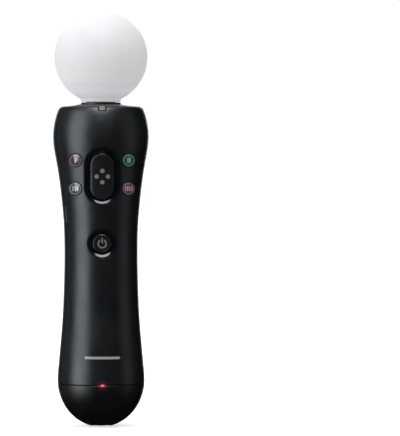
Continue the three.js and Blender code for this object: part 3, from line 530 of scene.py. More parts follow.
def moulded(name, color, roughness, grain=0.35, depth=0.012, marks=None, wear=0.25, **inputs):
    """Moulded plastic: fine spark-eroded grain, faint handling marks, edges a little rubbed."""
    s = Surface(name, color, roughness)
    s.mottle(14.0, 0.12)
    s.wear(wear)
    if marks:
        marks(s)
    s.bump(s.noise(grain, detail=2.0), depth)
    s.bump(s.noise(22.0, detail=1.0), 0.05, 0.4)
    smudge = s.noise(7.0, detail=4.0, stretch=(1, 1, 0.6))
    return s.done(smudge, 0.05, **inputs)


def on_front(s):
    """1 on the button side, 0 on the rest."""
    return s.y.spread(-1.0, -2.0, 0.0, 1.0)


def lamp_halo(s):
    """Painted red glow: light from the status window, painted as emission on the plastic round it."""
    near = s.x.hypot(s.z - LENS["v"]).spread(1.0, 3.4, 1.0, 0.0, smooth=True) * on_front(s)
    s.link(s.mix(near, (0, 0, 0), (0.04, 0.0006, 0.003)), s.shader.inputs["Emission Color"])
    s.shader.inputs["Emission Strength"].default_value = 1.0


def front_marks(s):
    """A plain silver bar printed low on the front, and polished dishes round the centre buttons."""
    half_length, bar_z, thick = 7.9, 33.6, 0.6
    distance = (abs(s.x) - half_length).at_least(0.0).hypot(s.z - bar_z) - thick
    front = on_front(s)
    s.over(distance.mark() * front, (0.27, 0.28, 0.29))
    straight = MAIN["half_v"] - MAIN["half_u"]
    main = abs(s.x).hypot((abs(s.z - MAIN["v"]) - straight).at_least(0.0)) - MAIN["half_u"]
    home = s.x.hypot(s.z - HOME["v"]) - HOME["half_u"]
    s.polish = (main - DISH_MARGIN).at_most(home - DISH_MARGIN * HOME_DISH).mark(0.25) * front
    # Painted red glow round the status window's hole.
    lamp_halo(s)


def four_dots(s):
    """Four pale dots in a diamond on the main button."""
    away, r = 2.7, 1.05
    x, z = abs(s.x), abs(s.z - MAIN["v"])
    side = (x - away).hypot(z) - r
    upright = x.hypot(z - away) - r
    s.over(side.at_most(upright).mark(), (0.15, 0.16, 0.17))


def power_mark(s):
    """The usual power symbol: an open ring and an upright stroke."""
    ring_radius, thick, opening_half = 1.9, 0.3, 0.85
    stroke_half, stroke_z, stroke_reach = 0.28, 1.6, 1.25
    x, z = s.x, s.z - HOME["v"]
    ring = abs(x.hypot(z) - ring_radius) - thick
    opening = (abs(x) - opening_half).at_least(z * -1.0).mark()
    stroke = (abs(x) - stroke_half).at_least(abs(z - stroke_z) - stroke_reach).mark()
    shown = (ring.mark() * opening.spread(0, 1, 1, 0)).at_least(stroke)
    s.over(shown, (0.16, 0.17, 0.18))


def tally(node, bars, tint):
    """Short upright bars, a number of them, printed under the clear dome of a small button, and a painted
    glow round the dome's edge.
    """
    u, v = ACTIONS[node]
    pitch, half, reach = 1.0, 0.2, 1.15

    def marks(s):
        x, z = s.x - u, s.z - v
        shown = None
        for i in range(bars):
            place = (i - (bars - 1) / 2) * pitch
            bar = (abs(x - place) - half).at_least(abs(z) - reach).mark(0.09)
            shown = bar if shown is None else shown.at_least(bar)
        # Painted light: a paler tinted ring toward the dome's edge stands for light caught in the clear
        # plastic's rim.
        rim = x.hypot(z).spread(1.7, 2.7, 0.0, 0.7, smooth=True)
        s.over(rim, tuple(c * 0.35 for c in tint))
        s.over(shown, tint)

    return marks


def metal(name, color, roughness, stretch=(1, 1, 1)):
    s = Surface(name, color, roughness, metallic=1.0)
    s.mottle(5.0, 0.1)
    s.bump(s.noise(0.5, detail=3.0, stretch=stretch), 0.008)
    return s.done(s.noise(1.2, stretch=stretch), 0.08)


def milk(name):
    """The ball: soft milky plastic that light sinks into, with a painted glow."""
    s = Surface(name, (0.778, 0.757, 0.788), 0.55)
    s.mottle(16.0, 0.012)
    s.bump(s.noise(0.6, detail=2.0), 0.012)
    s.bump(s.noise(18.0, detail=1.0), 0.06, 0.5)
    # Painted glow: emission over the whole ball, strongest at the neck, stands for light scattered inside the
    # ball, which leaves it mostly at the neck.
    glow = s.mix(s.z.spread(157.0, 167.0, 1.0, 0.0, smooth=True), (0.06, 0.059, 0.062), (0.31, 0.3, 0.318))
    s.link(glow, s.shader.inputs["Emission Color"])
    return s.done(
        s.noise(9.0), 0.05, Subsurface_Weight=0.7, Subsurface_Scale=0.012, Subsurface_Radius=(1.0, 0.9, 0.9),
        Specular_IOR_Level=0.2, Emission_Strength=1.0,
    )


def circuit(name):
    """Green solder mask with traces and gold pads."""
    s = Surface(name, (0.015, 0.11, 0.05), 0.38)
    s.mottle(6.0, 0.2)
    lines = s.node("TexBrick")
    lines.inputs["Scale"].default_value = 0.45
    lines.inputs["Mortar Size"].default_value = 0.03
    s.link(s.position, lines.inputs["Vector"])
    trace = Field(s.tree, lines.outputs["Fac"])
    s.over(trace, (0.03, 0.2, 0.09))
    pads = s.node("TexVoronoi")
    pads.inputs["Scale"].default_value = 0.4
    s.link(s.position, pads.inputs["Vector"])
    s.over(Field(s.tree, pads.outputs["Distance"]).spread(0.12, 0.16, 1.0, 0.0), (0.7, 0.5, 0.2))
    s.bump(trace, 0.03)
    return s.done()


def lamp_window(name):
    """The red status window, brightest in its middle."""
    s = Surface(name, (0.35, 0.01, 0.03), 0.2)
    s.mottle(2.0, 0.1)
    s.bump(s.noise(0.5), 0.01)
    glow = s.x.hypot((s.z - LENS["v"]) * 1.7).spread(0.15, 1.1, 1.0, 0.0, smooth=True)
    color = s.mix(glow, (0.09, 0.0, 0.008), (1.0, 0.4, 0.5))
    s.link(color, s.shader.inputs["Emission Color"])
    return s.done(Emission_Strength=0.75)


GLYPH_BLACK = (0.007, 0.0085, 0.0095)
BLACK = (0.0023, 0.0045, 0.0069)
LOOKS = {
    "shell": moulded("satin_black_front", BLACK, 0.38, marks=front_marks),
    # The tail also carries the painted red glow round the status window.
    "tail": moulded("satin_black_tail", (0.0012, 0.0028, 0.0052), 0.4, marks=lamp_halo),
    "plate": moulded("satin_black_plate", (0.0045, 0.006, 0.0068), 0.36, grain=0.25),
    "smooth": moulded("smooth_black", (0.006, 0.0075, 0.0085), 0.3, grain=0.5, depth=0.004),
    "main": moulded("main_button_black", GLYPH_BLACK, 0.33, grain=0.4, depth=0.006, marks=four_dots),
    "home": moulded("home_button_black", GLYPH_BLACK, 0.3, grain=0.5, depth=0.004, marks=power_mark),
    "collar": moulded("collar_grey", (0.018, 0.017, 0.019), 0.42),
    "trigger": moulded("trigger_black", (0.008, 0.0095, 0.0105), 0.3, grain=0.5, depth=0.005, wear=0.4),
    "sphere": milk("milky_ball"),
    "clear": moulded("frosted_clear", (0.82, 0.85, 0.88), 0.25, wear=0.0, Transmission_Weight=0.7),
    "steel": metal("plated_steel", (0.55, 0.56, 0.58), 0.3, stretch=(1, 1, 4)),
    "screw": metal("blackened_steel", (0.045, 0.046, 0.05), 0.42),
    "gold": metal("gold_contact", (0.83, 0.6, 0.27), 0.28),
    "silicone": moulded("grey_silicone", (0.11, 0.11, 0.12), 0.62, grain=0.8, wear=0.1),
    "board": circuit("circuit_board"),
    "chip": moulded("black_epoxy", (0.016, 0.017, 0.019), 0.48, grain=0.2),
    "white": moulded("white_nylon", (0.72, 0.72, 0.69), 0.45, wear=0.0),
    "cell": moulded("blue_shrink_film", (0.04, 0.14, 0.32), 0.3, grain=2.0, depth=0.02, wear=0.1),
    "lead_jacket": moulded("red_insulation", (0.45, 0.02, 0.03), 0.4, wear=0.05),
    "status": lamp_window("status_window"),
}
# The small clear buttons are smoked pink, green, blue and red, and carry one to four bars.
TINTS = (0.52, 0.36, 0.47), (0.2, 0.52, 0.42), (0.5, 0.52, 0.6), (0.56, 0.3, 0.34)
for bars, (node, tint) in enumerate(zip(ACTIONS, TINTS), 1):
    base = tuple(0.02 + 0.05 * c for c in tint)
    marks = tally(node, bars, tint)
    LOOKS[node] = moulded(
        node + "_smoke", base, 0.16, grain=1.0, depth=0.002, marks=marks, wear=0.0, Coat_Weight=0.5
    )


# ------------ shells
def end_inset(z, low, high):
    """How far the skin curls in near the shell's two ends."""
    near = np.minimum(z - low, high - z)
    return FILLET - np.sqrt(np.maximum(FILLET**2 - np.maximum(FILLET - near, 0) ** 2, 0))


def levels(low, high, fine_low, fine_high, fine_step):
    """Heights of the rings: close together at the rounded ends and where the surface has detail."""
    step, end_room = 1.0, 0.8
    curl = FILLET * (1 - np.cos(np.linspace(0, PI / 2, 6)))
    parts = [low + curl, high - curl, np.arange(low + end_room, fine_low, step)]
    parts += [np.arange(fine_low, fine_high, fine_step), np.arange(fine_high, high - end_room, step)]
    return np.unique(np.round(np.concatenate(parts), 4))


def half_shell(name, side, fine_low, fine_high, count, fine_step=0.45):
    """Half of the handle, from the tail to the collar, with a wall, rounded seam edges and no openings."""
    low, high = SEAM_Z + SEAM_Z_HALF, SHELL_TOP
    rings = []
    for z in levels(low, high, fine_low, fine_high, fine_step):
        full = float(radius(z))
        r = full - float(end_inset(z, low, high))
        start = math.asin((SEAM_HALF + FILLET) / r)
        x = r * np.cos(np.linspace(start, PI - start, count))
        outer = np.stack([x, skin(side, x, z, full - r)], 1)
        edge = np.array(arc(x[0] - FILLET, SEAM_HALF + FILLET, FILLET, -90, 0, 5))[:-1]
        inner_x = (full - WALL) * np.cos(np.linspace(PI, 0, count // 3))
        inner = np.stack([inner_x, np.maximum(skin(side, inner_x, z, WALL), SEAM_HALF)], 1)
        loop = np.concatenate([edge, outer, edge[::-1] * (-1, 1), inner])
        rings.append(np.stack([loop[:, 0], side * loop[:, 1], np.full(len(loop), z)], 1))
    return new_object(name, *loft(rings))


def tab_notch(side):
    return hole(side, TAB_NOTCH, bare_skin, depth=4.0, lip=0.2, **COARSE)


def lens_hole(depth):
    return hole("front", LENS, bare_skin, depth, lip=0.12, room=0.2, **COARSE)


def seam_tongue(side):
    """A strip behind the seam between the two shells, which keeps light out."""
    low, high, thick, bite, half = 23.0, 151.0, 0.8, 0.1, 1.2
    rings = []
    for z in np.linspace(low, high, 60):
        x = float(radius(z)) - WALL
        section = [(x - thick, -half), (x + bite, -half), (x + bite, half), (x - thick, half)]
        rings.append([(side * u, y, z) for u, y in section])
    return loft(rings)


def front_shell():
    """The front half, with its holes for the buttons and the status window."""
    shell = half_shell("front_shell", -1, 80.0, 136.0, 170)
    front = lambda u, v: skin(-1, u, v)
    cuts = [tab_notch("front"), lens_hole(3.0)]
    cuts += [hole("front", button, front, depth=8.0, lip=0.22, room=GAP) for button in (MAIN, HOME)]
    for place in ACTIONS.values():
        cuts.append(hole("front", disc(*place, ACTION_RADIUS), front, depth=8.0, lip=0.2, room=GAP))
    cuts += [hole(side, SIDE, bare_skin, depth=4.0, lip=0.12, room=SIDE_GAP) for side in ("left", "right")]
    cut(shell, *cuts)
    add_to(shell, new_object("tongues", *joined(seam_tongue(1), seam_tongue(-1))))
    return shell


def plate_outline(grow):
    """The long panel on the back: round shoulders, cut-off lower corners."""
    half, foot, low, chamfer, high, corner = PLATE
    shoulder = arc(half - corner, high - corner, corner + grow, 0, 90, 12)
    across = [(x, high + grow) for x in np.linspace(half - corner, corner - half, 15)[1:-1]]
    left = [(-x, z) for x, z in shoulder[::-1]]
    left += [(-half - grow, z) for z in np.linspace(high - corner, chamfer, 41)[1:]]
    left += [(-(half + foot) / 2 - grow, (low + chamfer) / 2), (-foot - grow, low - grow)]
    under = [(x, low - grow) for x in np.linspace(-foot, foot, 13)[1:-1]]
    right = [(-x, z) for x, z in left[:len(shoulder) - 1:-1]]
    return np.array(shoulder + across + left + under + right)


def rear_shell():
    """The rear half, with the finger scoop, the trigger's slot, the screw bores and the panel's recess."""
    shell = half_shell("rear_shell", 1, 104.0, 150.0, 260, fine_step=0.32)
    rear = lambda u, v: skin(1, u, v)
    cuts = [tab_notch("rear"), hole("rear", SLOT, rear, depth=5.0, lip=0.45, turn=16, straight=14)]
    cuts += [hole("rear", disc(u, v, SCREW_BORE), bare_skin, depth=7.0, lip=0.25) for u, v in SCREWS]
    cuts.append(hole("rear", disc(*RESET, RESET_HOLE), bare_skin, depth=6.0, lip=0.2, turn=8, straight=2))
    cut(shell, *cuts)
    panel = lambda grow: plate_outline(grow + PLATE_GAP)
    cut(shell, loft(on_skin("rear", panel, bare_skin, hole_profile(1.0, 0.15))))
    for u, v in SCREWS:
        end = float(bare_skin(abs(u) + SCREW_BORE, v)) - 1.0
        tube = [(SCREW_BORE, BOSS_START), (BOSS_RADIUS, BOSS_START), (BOSS_RADIUS, end), (SCREW_BORE, end)]
        add_to(shell, new_object("boss", *lathe_y(u, v, tube, 32, closed=True)))
    return shell


def rating_plate():
    """The inlaid panel: its outline drawn in towards a spine, so that its face follows the handle."""
    sunk, edge_width = 0.08, 0.2
    profile = [(0.0, -0.9), (0.0, -0.3), (-0.03, -0.18), (-0.1, -0.11), (-edge_width, -sunk)]
    rings = on_skin("rear", plate_outline, bare_skin, profile)
    edge = plate_outline(-edge_width)
    spine = np.stack([np.zeros(len(edge)), np.clip(edge[:, 1], *PLATE_SPINE)], 1)
    for shrink in np.linspace(0.0, 0.97, 26)[1:]:
        u, v = (edge * (1 - shrink) + spine * shrink).T
        rings.append(facing("rear")(u, v, bare_skin(u, v) - sunk))
    return new_object("rating_plate", *loft(rings))


# ------------ tail
SPIGOT = [(18.3, 23.6), (18.1, 23.8), (17.1, 23.8), (16.9, 23.6), (16.9, 14.0)]  # fits inside the shells
TAIL_WALL = 2.2
# Growth of a socket's opening at each height: a straight hole with a rounded mouth.
SOCKET_MOUTH = [(GAP, 8.0), (GAP, 0.5), (GAP + 0.12, 0.15), (GAP + 0.4, -0.2), (GAP + 0.4, -2.0)]


def tail_cap():
    """The domed tail, with the openings for the sockets, contacts, strap and status window."""
    top = SEAM_Z - SEAM_Z_HALF
    angle = np.linspace(0.0, math.acos((DOME_Z - top + FILLET) / DOME_HEIGHT), 60)
    foot = DOME_RADIUS * math.sqrt(1 - (DOME_Z / DOME_HEIGHT) ** 2)
    rim = float(radius(top))
    profile = [(0.0, 0.0), (foot * 0.5, 0.0), (foot - 0.15, 0.0), (foot + 0.12, 0.035)]
    outer = [(DOME_RADIUS * math.sin(a), DOME_Z - DOME_HEIGHT * math.cos(a)) for a in angle]
    profile += [p for p in outer if p[1] > 0.03]
    profile += arc(rim - FILLET, top - FILLET, FILLET, 20, 90, 5)
    profile += [(SPIGOT[0][0], top)] + SPIGOT
    hollow_radius, hollow_height = DOME_RADIUS - TAIL_WALL, DOME_HEIGHT - TAIL_WALL
    inner = [(hollow_radius * math.sin(a), DOME_Z - hollow_height * math.cos(a)) for a in angle]
    profile += [p for p in inner[::-3] if 2.4 < p[1] < 12.5] + [(0.0, TAIL_WALL)]
    cap = new_object("tail_cap", *lathe(profile, 180))
    cuts = []
    for node, corner in (("usb_port", 0.9), ("expansion_port", 0.6)):
        low, high = extent(node)
        middle, half = (low + high) / 2, (high - low) / 2
        rings = []
        for grow, z in SOCKET_MOUTH:
            ring = rounded(*middle[:2], *half[:2], corner, grow, turn=6, straight=2)
            rings.append(np.column_stack([ring, np.full(len(ring), z)]))
        cuts.append(loft(rings))
    cuts.append(hole("rear", LOCK_WINDOW, bare_skin, depth=4.0, lip=0.25, turn=8, straight=6))
    cuts += [lens_hole(4.0), strap_groove(), contact_well(-1), contact_well(1)]
    return cut(cap, *cuts)


def strap_groove():
    """The groove for the wrist strap: a rounded trench along a chord of the dome."""
    start, run = (8.9, 1.4), (7.7, 6.7)
    out = (0.657, -0.754)  # away from the dome, square to the chord
    half, floor_half, deepest, above = 1.85, 1.1, 3.3, 4.0
    rings = []
    for t in np.linspace(-0.06, 1.06, 16):
        y, z = start[0] + run[0] * t, start[1] + run[1] * t
        depth = deepest * math.sqrt(max(1 - (2 * t - 1) ** 4, 0.02))
        side = [(half, above), (half, 0.0), (half, -depth * 0.75), (floor_half, -depth)]
        across = [(-u, d) for u, d in side] + side[::-1]
        rings.append([(u, y + d * out[0], z + d * out[1]) for u, d in across])
    return loft(rings)


def contact_well(side):
    """The slanting pocket of a charging contact."""
    x, z, half_u, half_y = side * 9.7, 1.85, 1.8, 2.1
    tilt = math.radians(30) * side
    rings = []
    for up in (-3.0, 2.3):
        points = []
        for a, b in ((-1, -1), (1, -1), (1, 1), (-1, 1)):
            along = a * half_u
            points.append((x + along * math.cos(tilt) - up * math.sin(tilt), b * half_y,
                           z + along * math.sin(tilt) + up * math.cos(tilt)))
        rings.append(points)
    return loft(rings)


# ------------ head
def light_sphere():
    """A hollow ball on a short neck. Its profile runs from the neck over the outside, and back inside."""
    low, high = extent("light_sphere")
    foot, top = low[2], high[2]
    r, wall, neck, neck_angle = 22.4, 1.4, 10.0, 21.5
    z = top - r
    start = math.degrees(math.asin(neck / r))
    outer = [(r * math.sin(a), z - r * math.cos(a)) for a in np.radians(np.linspace(start, 180, 90))]
    ring = [(8.1, foot + 0.2), (8.3, foot), (9.32, foot), (9.5, foot + 0.18), (9.52, foot + 0.6)]
    ring += [(9.6, foot + 0.95), (9.76, foot + 1.3)]
    hollow = r - wall
    turn = np.radians(np.linspace(180, neck_angle, 50))
    inner = [(hollow * math.sin(a), z - hollow * math.cos(a)) for a in turn]
    outer[-1] = (0.0, top)
    inner[0] = (0.0, top - wall)
    return new_object("light_sphere", *lathe(ring + outer + inner, 160, closed=True))


def sphere_seat():
    """The dark ring under the ball: a tube with a foot, and a flange that shows as a thin band."""
    low, high = extent("sphere_seat")
    foot, top, flange = low[2], 155.6, 154.35
    bore, tube, base, base_top = 5.7, 7.0, 8.4, foot + 1.2
    profile = [(bore, foot), (base, foot), (base, base_top), (tube, base_top)]
    profile += [(tube, flange), (9.2, flange)] + arc(9.3, flange + 0.3, 0.3, -80, 0, 5)
    profile += arc(9.25, top - 0.35, 0.35, 0, 90, 6) + [(tube, top), (tube, high[2]), (bore, high[2])]
    return new_object("sphere_seat", *lathe(profile, 128, closed=True))


COLLAR_RIM, COLLAR_CROWN, COLLAR_SAG = (19.15, 153.6), (9.95, 154.8), 0.2
COLLAR_SPIGOT = [(7.3, 153.15), (16.2, 152.9), (16.2, 150.4), (17.6, 150.4), (17.6, 153.28), (18.9, 153.28)]
COLLAR_TAB = dict(u=0.0, v=152.65, half_u=1.7, half_v=1.2, corner=0.25)
TAB_PROFILE = [(0, -2.2), (0, -0.3), (-0.06, -0.12), (-0.2, -0.02), (-0.5, 0.0), (-0.95, 0.0)]
TAB_Z, TAB_LEAN = 151.5, 0.75  # from this height the tab leans in by this much for each millimetre up


def top_collar():
    """The shallow cone under the ball, with the spigot inside the shells and a tab front and back."""
    profile = COLLAR_SPIGOT + arc(19.0, 153.44, 0.15, -80, 60, 5)
    for t in np.linspace(0.02, 0.97, 20):
        r, z = (a + (b - a) * t for a, b in zip(COLLAR_RIM, COLLAR_CROWN))
        profile.append((r, z - COLLAR_SAG * math.sin(PI * t)))
    profile += arc(10.05, 154.62, 0.16, 70, 180, 4) + [(9.89, 154.05), (7.3, 154.05)]
    lean = lambda u, v: bare_skin(u, TAB_Z) - TAB_LEAN * (v - TAB_Z)
    tabs = [inlay(side, COLLAR_TAB, lean, TAB_PROFILE, turn=5, straight=8) for side in ("front", "rear")]
    return new_object("top_collar", *joined(lathe(profile, 160, closed=True), *tabs))


# ------------ buttons
def main_button():
    profile = cap_profile(MAIN["half_u"], proud=0.05, edge=0.5, crown=0.1, depth=5.0, rings=14)
    return new_object("main_button", *inlay("front", MAIN, bare_skin, profile))


def home_button():
    flatness, sunk = 0.35, 0.35
    surface = lambda u, v: bare_skin(flatness * u, HOME["v"] + flatness * (v - HOME["v"])) - sunk
    profile = cap_profile(HOME["half_u"], proud=0.25, edge=0.4, crown=-0.25, depth=4.0, rings=12)
    return new_object("home_button", *inlay("front", HOME, surface, profile))


def action_button(node):
    profile = cap_profile(ACTION_RADIUS, proud=0.15, edge=0.35, crown=0.55, depth=5.0, rings=14)
    shape = disc(*ACTIONS[node], ACTION_RADIUS)
    return new_object(node, *inlay("front", shape, bare_skin, profile, straight=1))


def side_button(node):
    side = "right" if node.startswith("start") else "left"
    profile = cap_profile(SIDE["half_u"], proud=0.1, edge=0.3, crown=0.05, depth=2.6, rings=8)
    return new_object(node, *inlay(side, SIDE, bare_skin, profile))


# ------------ trigger
# Side outline, as distance behind the axis and height: down the finger pad, round the nose and back below.
TRIGGER_FACE = [
    (9.6, 135.2), (10.9, 133.6), (12.3, 131.2), (13.9, 128.7), (16.4, 126.6), (19.4, 125.0), (21.6, 124.1),
    (22.4, 123.5), (22.25, 122.6), (21.8, 121.0), (20.6, 118.4), (18.8, 115.9), (16.6, 113.7), (12.4, 112.2),
    (8.2, 111.6),
]
TRIGGER_BACK = [
    (6.6, 118.0), (5.6, 128.0), (5.4, 134.6), (5.2, 137.6), (6.2, 139.2), (8.2, 139.3), (9.5, 138.2),
    (9.7, 136.8),
]
TRIGGER_EDGE, EDGE_SHARE = 0.9, 0.7  # width of the edges' rounding, and its depth as a share of that
NOSE_BACK, NOSE_DROP = (3.0, 2.4), (2.4, 2.0)  # how far the nose falls away at its sides, and with what power
TRIGGER_FOOT, TRIGGER_CORNER = 111.65, 4.6  # lowest z, and radius of the lower corners, which follow the slot


def bowed(points, count):
    """Evenly spaced points of a smooth curve through the given ones."""
    points = np.array(points, float)
    reach = np.concatenate([[0], np.cumsum(np.hypot(*np.diff(points, axis=0).T))])
    t = np.linspace(0, reach[-1], count)
    slopes = np.gradient(points, reach, axis=0)
    i = np.clip(np.searchsorted(reach, t) - 1, 0, len(reach) - 2)
    h = (reach[i + 1] - reach[i])[:, None]
    return hermite(points[i], points[i + 1], slopes[i] * h, slopes[i + 1] * h, (t - reach[i])[:, None] / h)


def quarter(r, reach):
    """Height of a quarter circle at a distance along it."""
    return r - math.sqrt(max(r**2 - max(reach, 0) ** 2, 0))


def trigger():
    """A concave finger pad, a rounded nose and a dark underside."""
    half = extent("trigger")[1][0]
    section = np.concatenate([bowed(TRIGGER_FACE, 90), bowed(TRIGGER_BACK, 24)])
    near_nose = smooth_step(13.0, 22.0, section[:, 0]) * smooth_step(112.0, 121.0, section[:, 1])
    across = -half + TRIGGER_EDGE * (1 - np.cos(np.linspace(0, PI / 2, 7)))
    across = np.concatenate([across, np.linspace(-half + 1.2, 0, 14)])
    rings = []
    for x in np.concatenate([across, -across[::-1][1:]]):
        out = abs(x) / half
        inset = quarter(TRIGGER_EDGE, TRIGGER_EDGE - (half - abs(x)))
        ring = section.copy()
        ring[:, 0] -= near_nose * NOSE_BACK[0] * out ** NOSE_BACK[1]
        ring[:, 1] -= near_nose * NOSE_DROP[0] * out ** NOSE_DROP[1]
        climb = quarter(TRIGGER_CORNER, abs(x) - (half - TRIGGER_CORNER))
        ring[:, 1] = np.maximum(ring[:, 1], TRIGGER_FOOT + climb)
        away = ring - ring.mean(axis=0)
        length = np.maximum(np.hypot(*away.T), 1e-6)[:, None]
        ring = ring - away / length * inset * EDGE_SHARE
        rings.append(np.column_stack([np.full(len(ring), x), ring]))
    return new_object("trigger", *loft(rings), smooth=50)


# ------------ small pieces
def polished(node, width):
    """A copy of a CAD node's solid with its edges rounded."""
    mesh = NODES[node].data.copy()
    bm = bmesh.new()
    bm.from_mesh(mesh)
    bmesh.ops.remove_doubles(bm, verts=bm.verts, dist=1e-6)
    bmesh.ops.dissolve_limit(bm, angle_limit=math.radians(1.0), verts=bm.verts, edges=bm.edges)
    bm.to_mesh(mesh)
    bm.free()
    obj = placed(node + "_look", mesh)
    bevel = obj.modifiers.new("bevel", "BEVEL")
    bevel.width = width * 0.001
    bevel.segments = 3
    bevel.limit_method = "ANGLE"
    bevel.angle_limit = math.radians(35)
    bevel.use_clamp_overlap = True
    settle(obj, node, 40)
    return obj


def status_lens():
    profile = [(0, -3.0), (0, -0.2), (-0.06, -0.08), (-0.2, 0.0), (-0.5, 0.03), (-0.82, 0.04)]
    return new_object("status_lens", *inlay("front", LENS, bare_skin, profile, **COARSE))


def strap_bar():
    """A round bar across the strap's groove, a little thinner in its middle."""
    low, high = extent("strap_bar")
    thick, waist = 0.7, 0.12
    start = np.array([0.0, low[1] + 0.5, low[2] + 0.45])
    end = np.array([0.0, high[1] - 0.5, high[2] - 0.45])
    sideways = np.cross((end - start) / np.linalg.norm(end - start), [1, 0, 0])
    angles = np.linspace(0, 2 * PI, 28, endpoint=False)
    circle = np.cos(angles)[:, None] * [1, 0, 0] + np.sin(angles)[:, None] * sideways
    rings = []
    for t in np.linspace(0, 1, 20):
        rings.append(start + (end - start) * t + (thick - waist * math.sin(PI * t)) * circle)
    return new_object("strap_bar", *loft(rings))


def case_screw(node, u, v):
    """A pan head with a cross recess at the bottom of its bore."""
    point = extent(node)[0][1]
    shank, seat, rim, shoulder, crown = 1.0, 3.4, 2.0, 4.4, 0.6
    profile = [(shank, point), (shank, seat), (rim, seat), (rim, shoulder)]
    profile += [(rim * math.cos(t), shoulder + crown * math.sin(t)) for t in np.linspace(0.1, 1.35, 8)]
    head = new_object(node, *lathe_y(u, v, profile, 40))
    recess, long, narrow = (4.2, 6.0), 1.2, 0.22
    for a, b in ((long, narrow), (narrow, long)):
        cut(head, block((u - a, recess[0], v - b), (u + a, recess[1], v + b)))
    return head


# ------------ assembly
for make, look in (
    (light_sphere, "sphere"), (sphere_seat, "collar"), (top_collar, "collar"), (front_shell, "shell"),
    (rear_shell, "tail"), (tail_cap, "tail"), (rating_plate, "plate"), (main_button, "main"),
    (home_button, "home"),
):
    finish_piece(make(), make.__name__, look)
for node in ACTIONS:
    finish_piece(action_button(node), node, node)
for node in ("start_button", "select_button"):
    finish_piece(side_button(node), node, "smooth")
for make, look in ((trigger, "trigger"), (status_lens, "status"), (strap_bar, "steel")):
    finish_piece(make(), make.__name__, look)
for i, (u, v) in enumerate(SCREWS):
    node = f"case_screw_{i + 1}"
    finish_piece(case_screw(node, u, v), node, "screw")
# CAD nodes shown with rounded edges: how wide the rounding is.
EDGES = {
    "usb_port": 0.1, "expansion_port": 0.15, "charge_contact_left": 0.25, "charge_contact_right": 0.25,
    "strap_lock": 0.15, "battery": 0.8, "battery_cradle": 0.3, "battery_socket": 0.2, "processor_chip": 0.12,
    "radio_module": 0.2, "motion_sensor": 0.1, "trigger_bracket": 0.15, "trigger_sensor": 0.2, "rgb_led": 0.2,
    "start_switch": 0.15, "select_switch": 0.15, "reset_switch": 0.15, "status_led": 0.15,
}
for node, width in EDGES.items():
    finish_piece(polished(node, width), node, "smooth" if node == "strap_lock" else SLOT_OF[node])
for node, obj in NODES.items():
    obj.data.materials.clear()
    obj.data.materials.append(LOOKS.get(SLOT_OF[node], LOOKS["smooth"]))


# ------------ studio
MIDDLE = (0, 0, 0.1)
COOL = (0.9, 0.965, 1.0)


def softbox(name, place, width, height, radiance, target=MIDDLE, diffuse=True, glossy=True, color=(1, 1, 1)):
    """An area light of a given radiance, out of the camera's sight."""
    data = bpy.data.lights.new(name, "AREA")
    data.shape = "RECTANGLE"
    data.size, data.size_y = width, height
    data.energy = radiance * width * height * PI
    light = placed(name, data)
    light.location = place
    light.visible_camera = False
    light.visible_diffuse, light.visible_glossy = diffuse, glossy
    data.color = color
    light.rotation_euler = (Vector(target) - light.location).to_track_quat("-Z", "Y").to_euler()


def around(azimuth, distance, height):
    """A place at an angle from the front, positive towards +X."""
    angle = math.radians(azimuth)
    return (distance * math.sin(angle), -distance * math.cos(angle), height)


softbox("left_box", around(-62.5, 1.1, 0.25), 0.82, 1.5, 4.6, diffuse=False, color=COOL)
softbox("left_wash", around(-60, 1.1, 0.45), 0.75, 1.5, 1.55, glossy=False)
softbox("left_edge", around(-122, 1.2, 0.2), 0.6, 1.4, 0.17, diffuse=False, color=COOL)
softbox("right_fill", around(74, 1.2, 0.2), 0.7, 1.3, 0.42, color=COOL)
softbox("front_top", (-0.03, -0.66, 1.07), 0.6, 0.5, 9.0, (0, 0, 0.12), diffuse=False, color=COOL)
softbox("top_box", (0.0, -0.26, 1.1), 0.5, 0.42, 8.0, (0, 0, 0.15))
softbox("back_left", around(-167, 1.3, 0.3), 0.3, 1.2, 1.3)
softbox("back_right", around(168, 1.3, 0.3), 0.45, 1.2, 2.4)


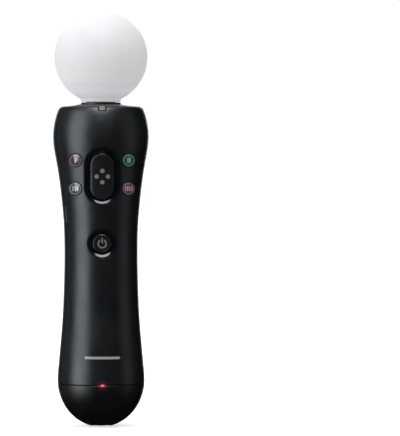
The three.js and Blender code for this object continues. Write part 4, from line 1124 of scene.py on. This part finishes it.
def studio():
    """A pale floor that runs to the horizon, and a white surround that doesn't wash out the dark plastic."""
    mesh = bpy.data.meshes.new("floor")
    reach, below = 60.0, 0.0003  # metres
    corners = [(-reach, -reach, 0), (reach, -reach, 0), (reach, reach, 0), (-reach, reach, 0)]
    mesh.from_pydata(corners, [], [(0, 1, 2, 3)])
    floor = placed("floor", mesh)
    floor.location.z = -below
    floor.visible_glossy = floor.visible_diffuse = False
    paper = Surface("pale_floor", (0.88, 0.88, 0.88), 0.9)
    paper.mottle(400.0, 0.01)
    glow = dict(Emission_Color=(1, 1, 1, 1), Emission_Strength=0.62)
    mesh.materials.append(paper.done(Specular_IOR_Level=0.0, **glow))
    world = bpy.data.worlds.new("surround")
    bpy.context.scene.world = world
    world.use_nodes = True
    tree = world.node_tree
    background = tree.nodes["Background"]
    path = tree.nodes.new("ShaderNodeLightPath")
    coordinates = tree.nodes.new("ShaderNodeTexCoord")
    split = tree.nodes.new("ShaderNodeSeparateXYZ")
    tree.links.new(coordinates.outputs["Generated"], split.inputs[0])
    from_below = Field(tree, split.outputs[2]).spread(-0.3, 0.3, 1.08, 0.36, smooth=True)
    from_left = Field(tree, split.outputs[0]).spread(-1.0, 1.0, 1.15, 0.8)
    seen, soft = Field(tree, path.outputs["Is Camera Ray"]), Field(tree, path.outputs["Is Diffuse Ray"])
    strength = seen + soft * from_below * from_left + 0.008
    tree.links.new(strength.socket, background.inputs["Strength"])
    background.inputs["Color"].default_value = (1, 1, 1, 1)


studio()
sky = bpy.data.lights.new("sky_panel", "SUN")
sky.energy, sky.angle = 1.05, math.radians(70)
placed("sky_panel", sky)

# ------------ camera
# Lengths in metres, azimuth in degrees from the front.
DISTANCE, AZIMUTH, HEIGHT, AIM_HEIGHT = 1.6, -1.8, 0.128, 0.1
VIEW_WIDTH = 0.192957
AXIS_LEFT = 0.047757  # how far left of the view's middle the object stands
SENSOR = 36.0  # millimetres
lens = bpy.data.cameras.new("camera")
lens.sensor_fit, lens.sensor_width = "HORIZONTAL", SENSOR
lens.lens = SENSOR * DISTANCE / VIEW_WIDTH
lens.clip_end = 200.0
camera = placed("camera", lens)
camera.location = around(AZIMUTH, DISTANCE, HEIGHT)
pitch = math.atan((HEIGHT - AIM_HEIGHT) / DISTANCE)
heading = math.radians(AZIMUTH) - math.atan(AXIS_LEFT / DISTANCE)
camera.rotation_euler = (PI / 2 - pitch, 0.0, heading)
bpy.context.scene.camera = camera
bpy.context.scene.view_settings.view_transform = "Standard"
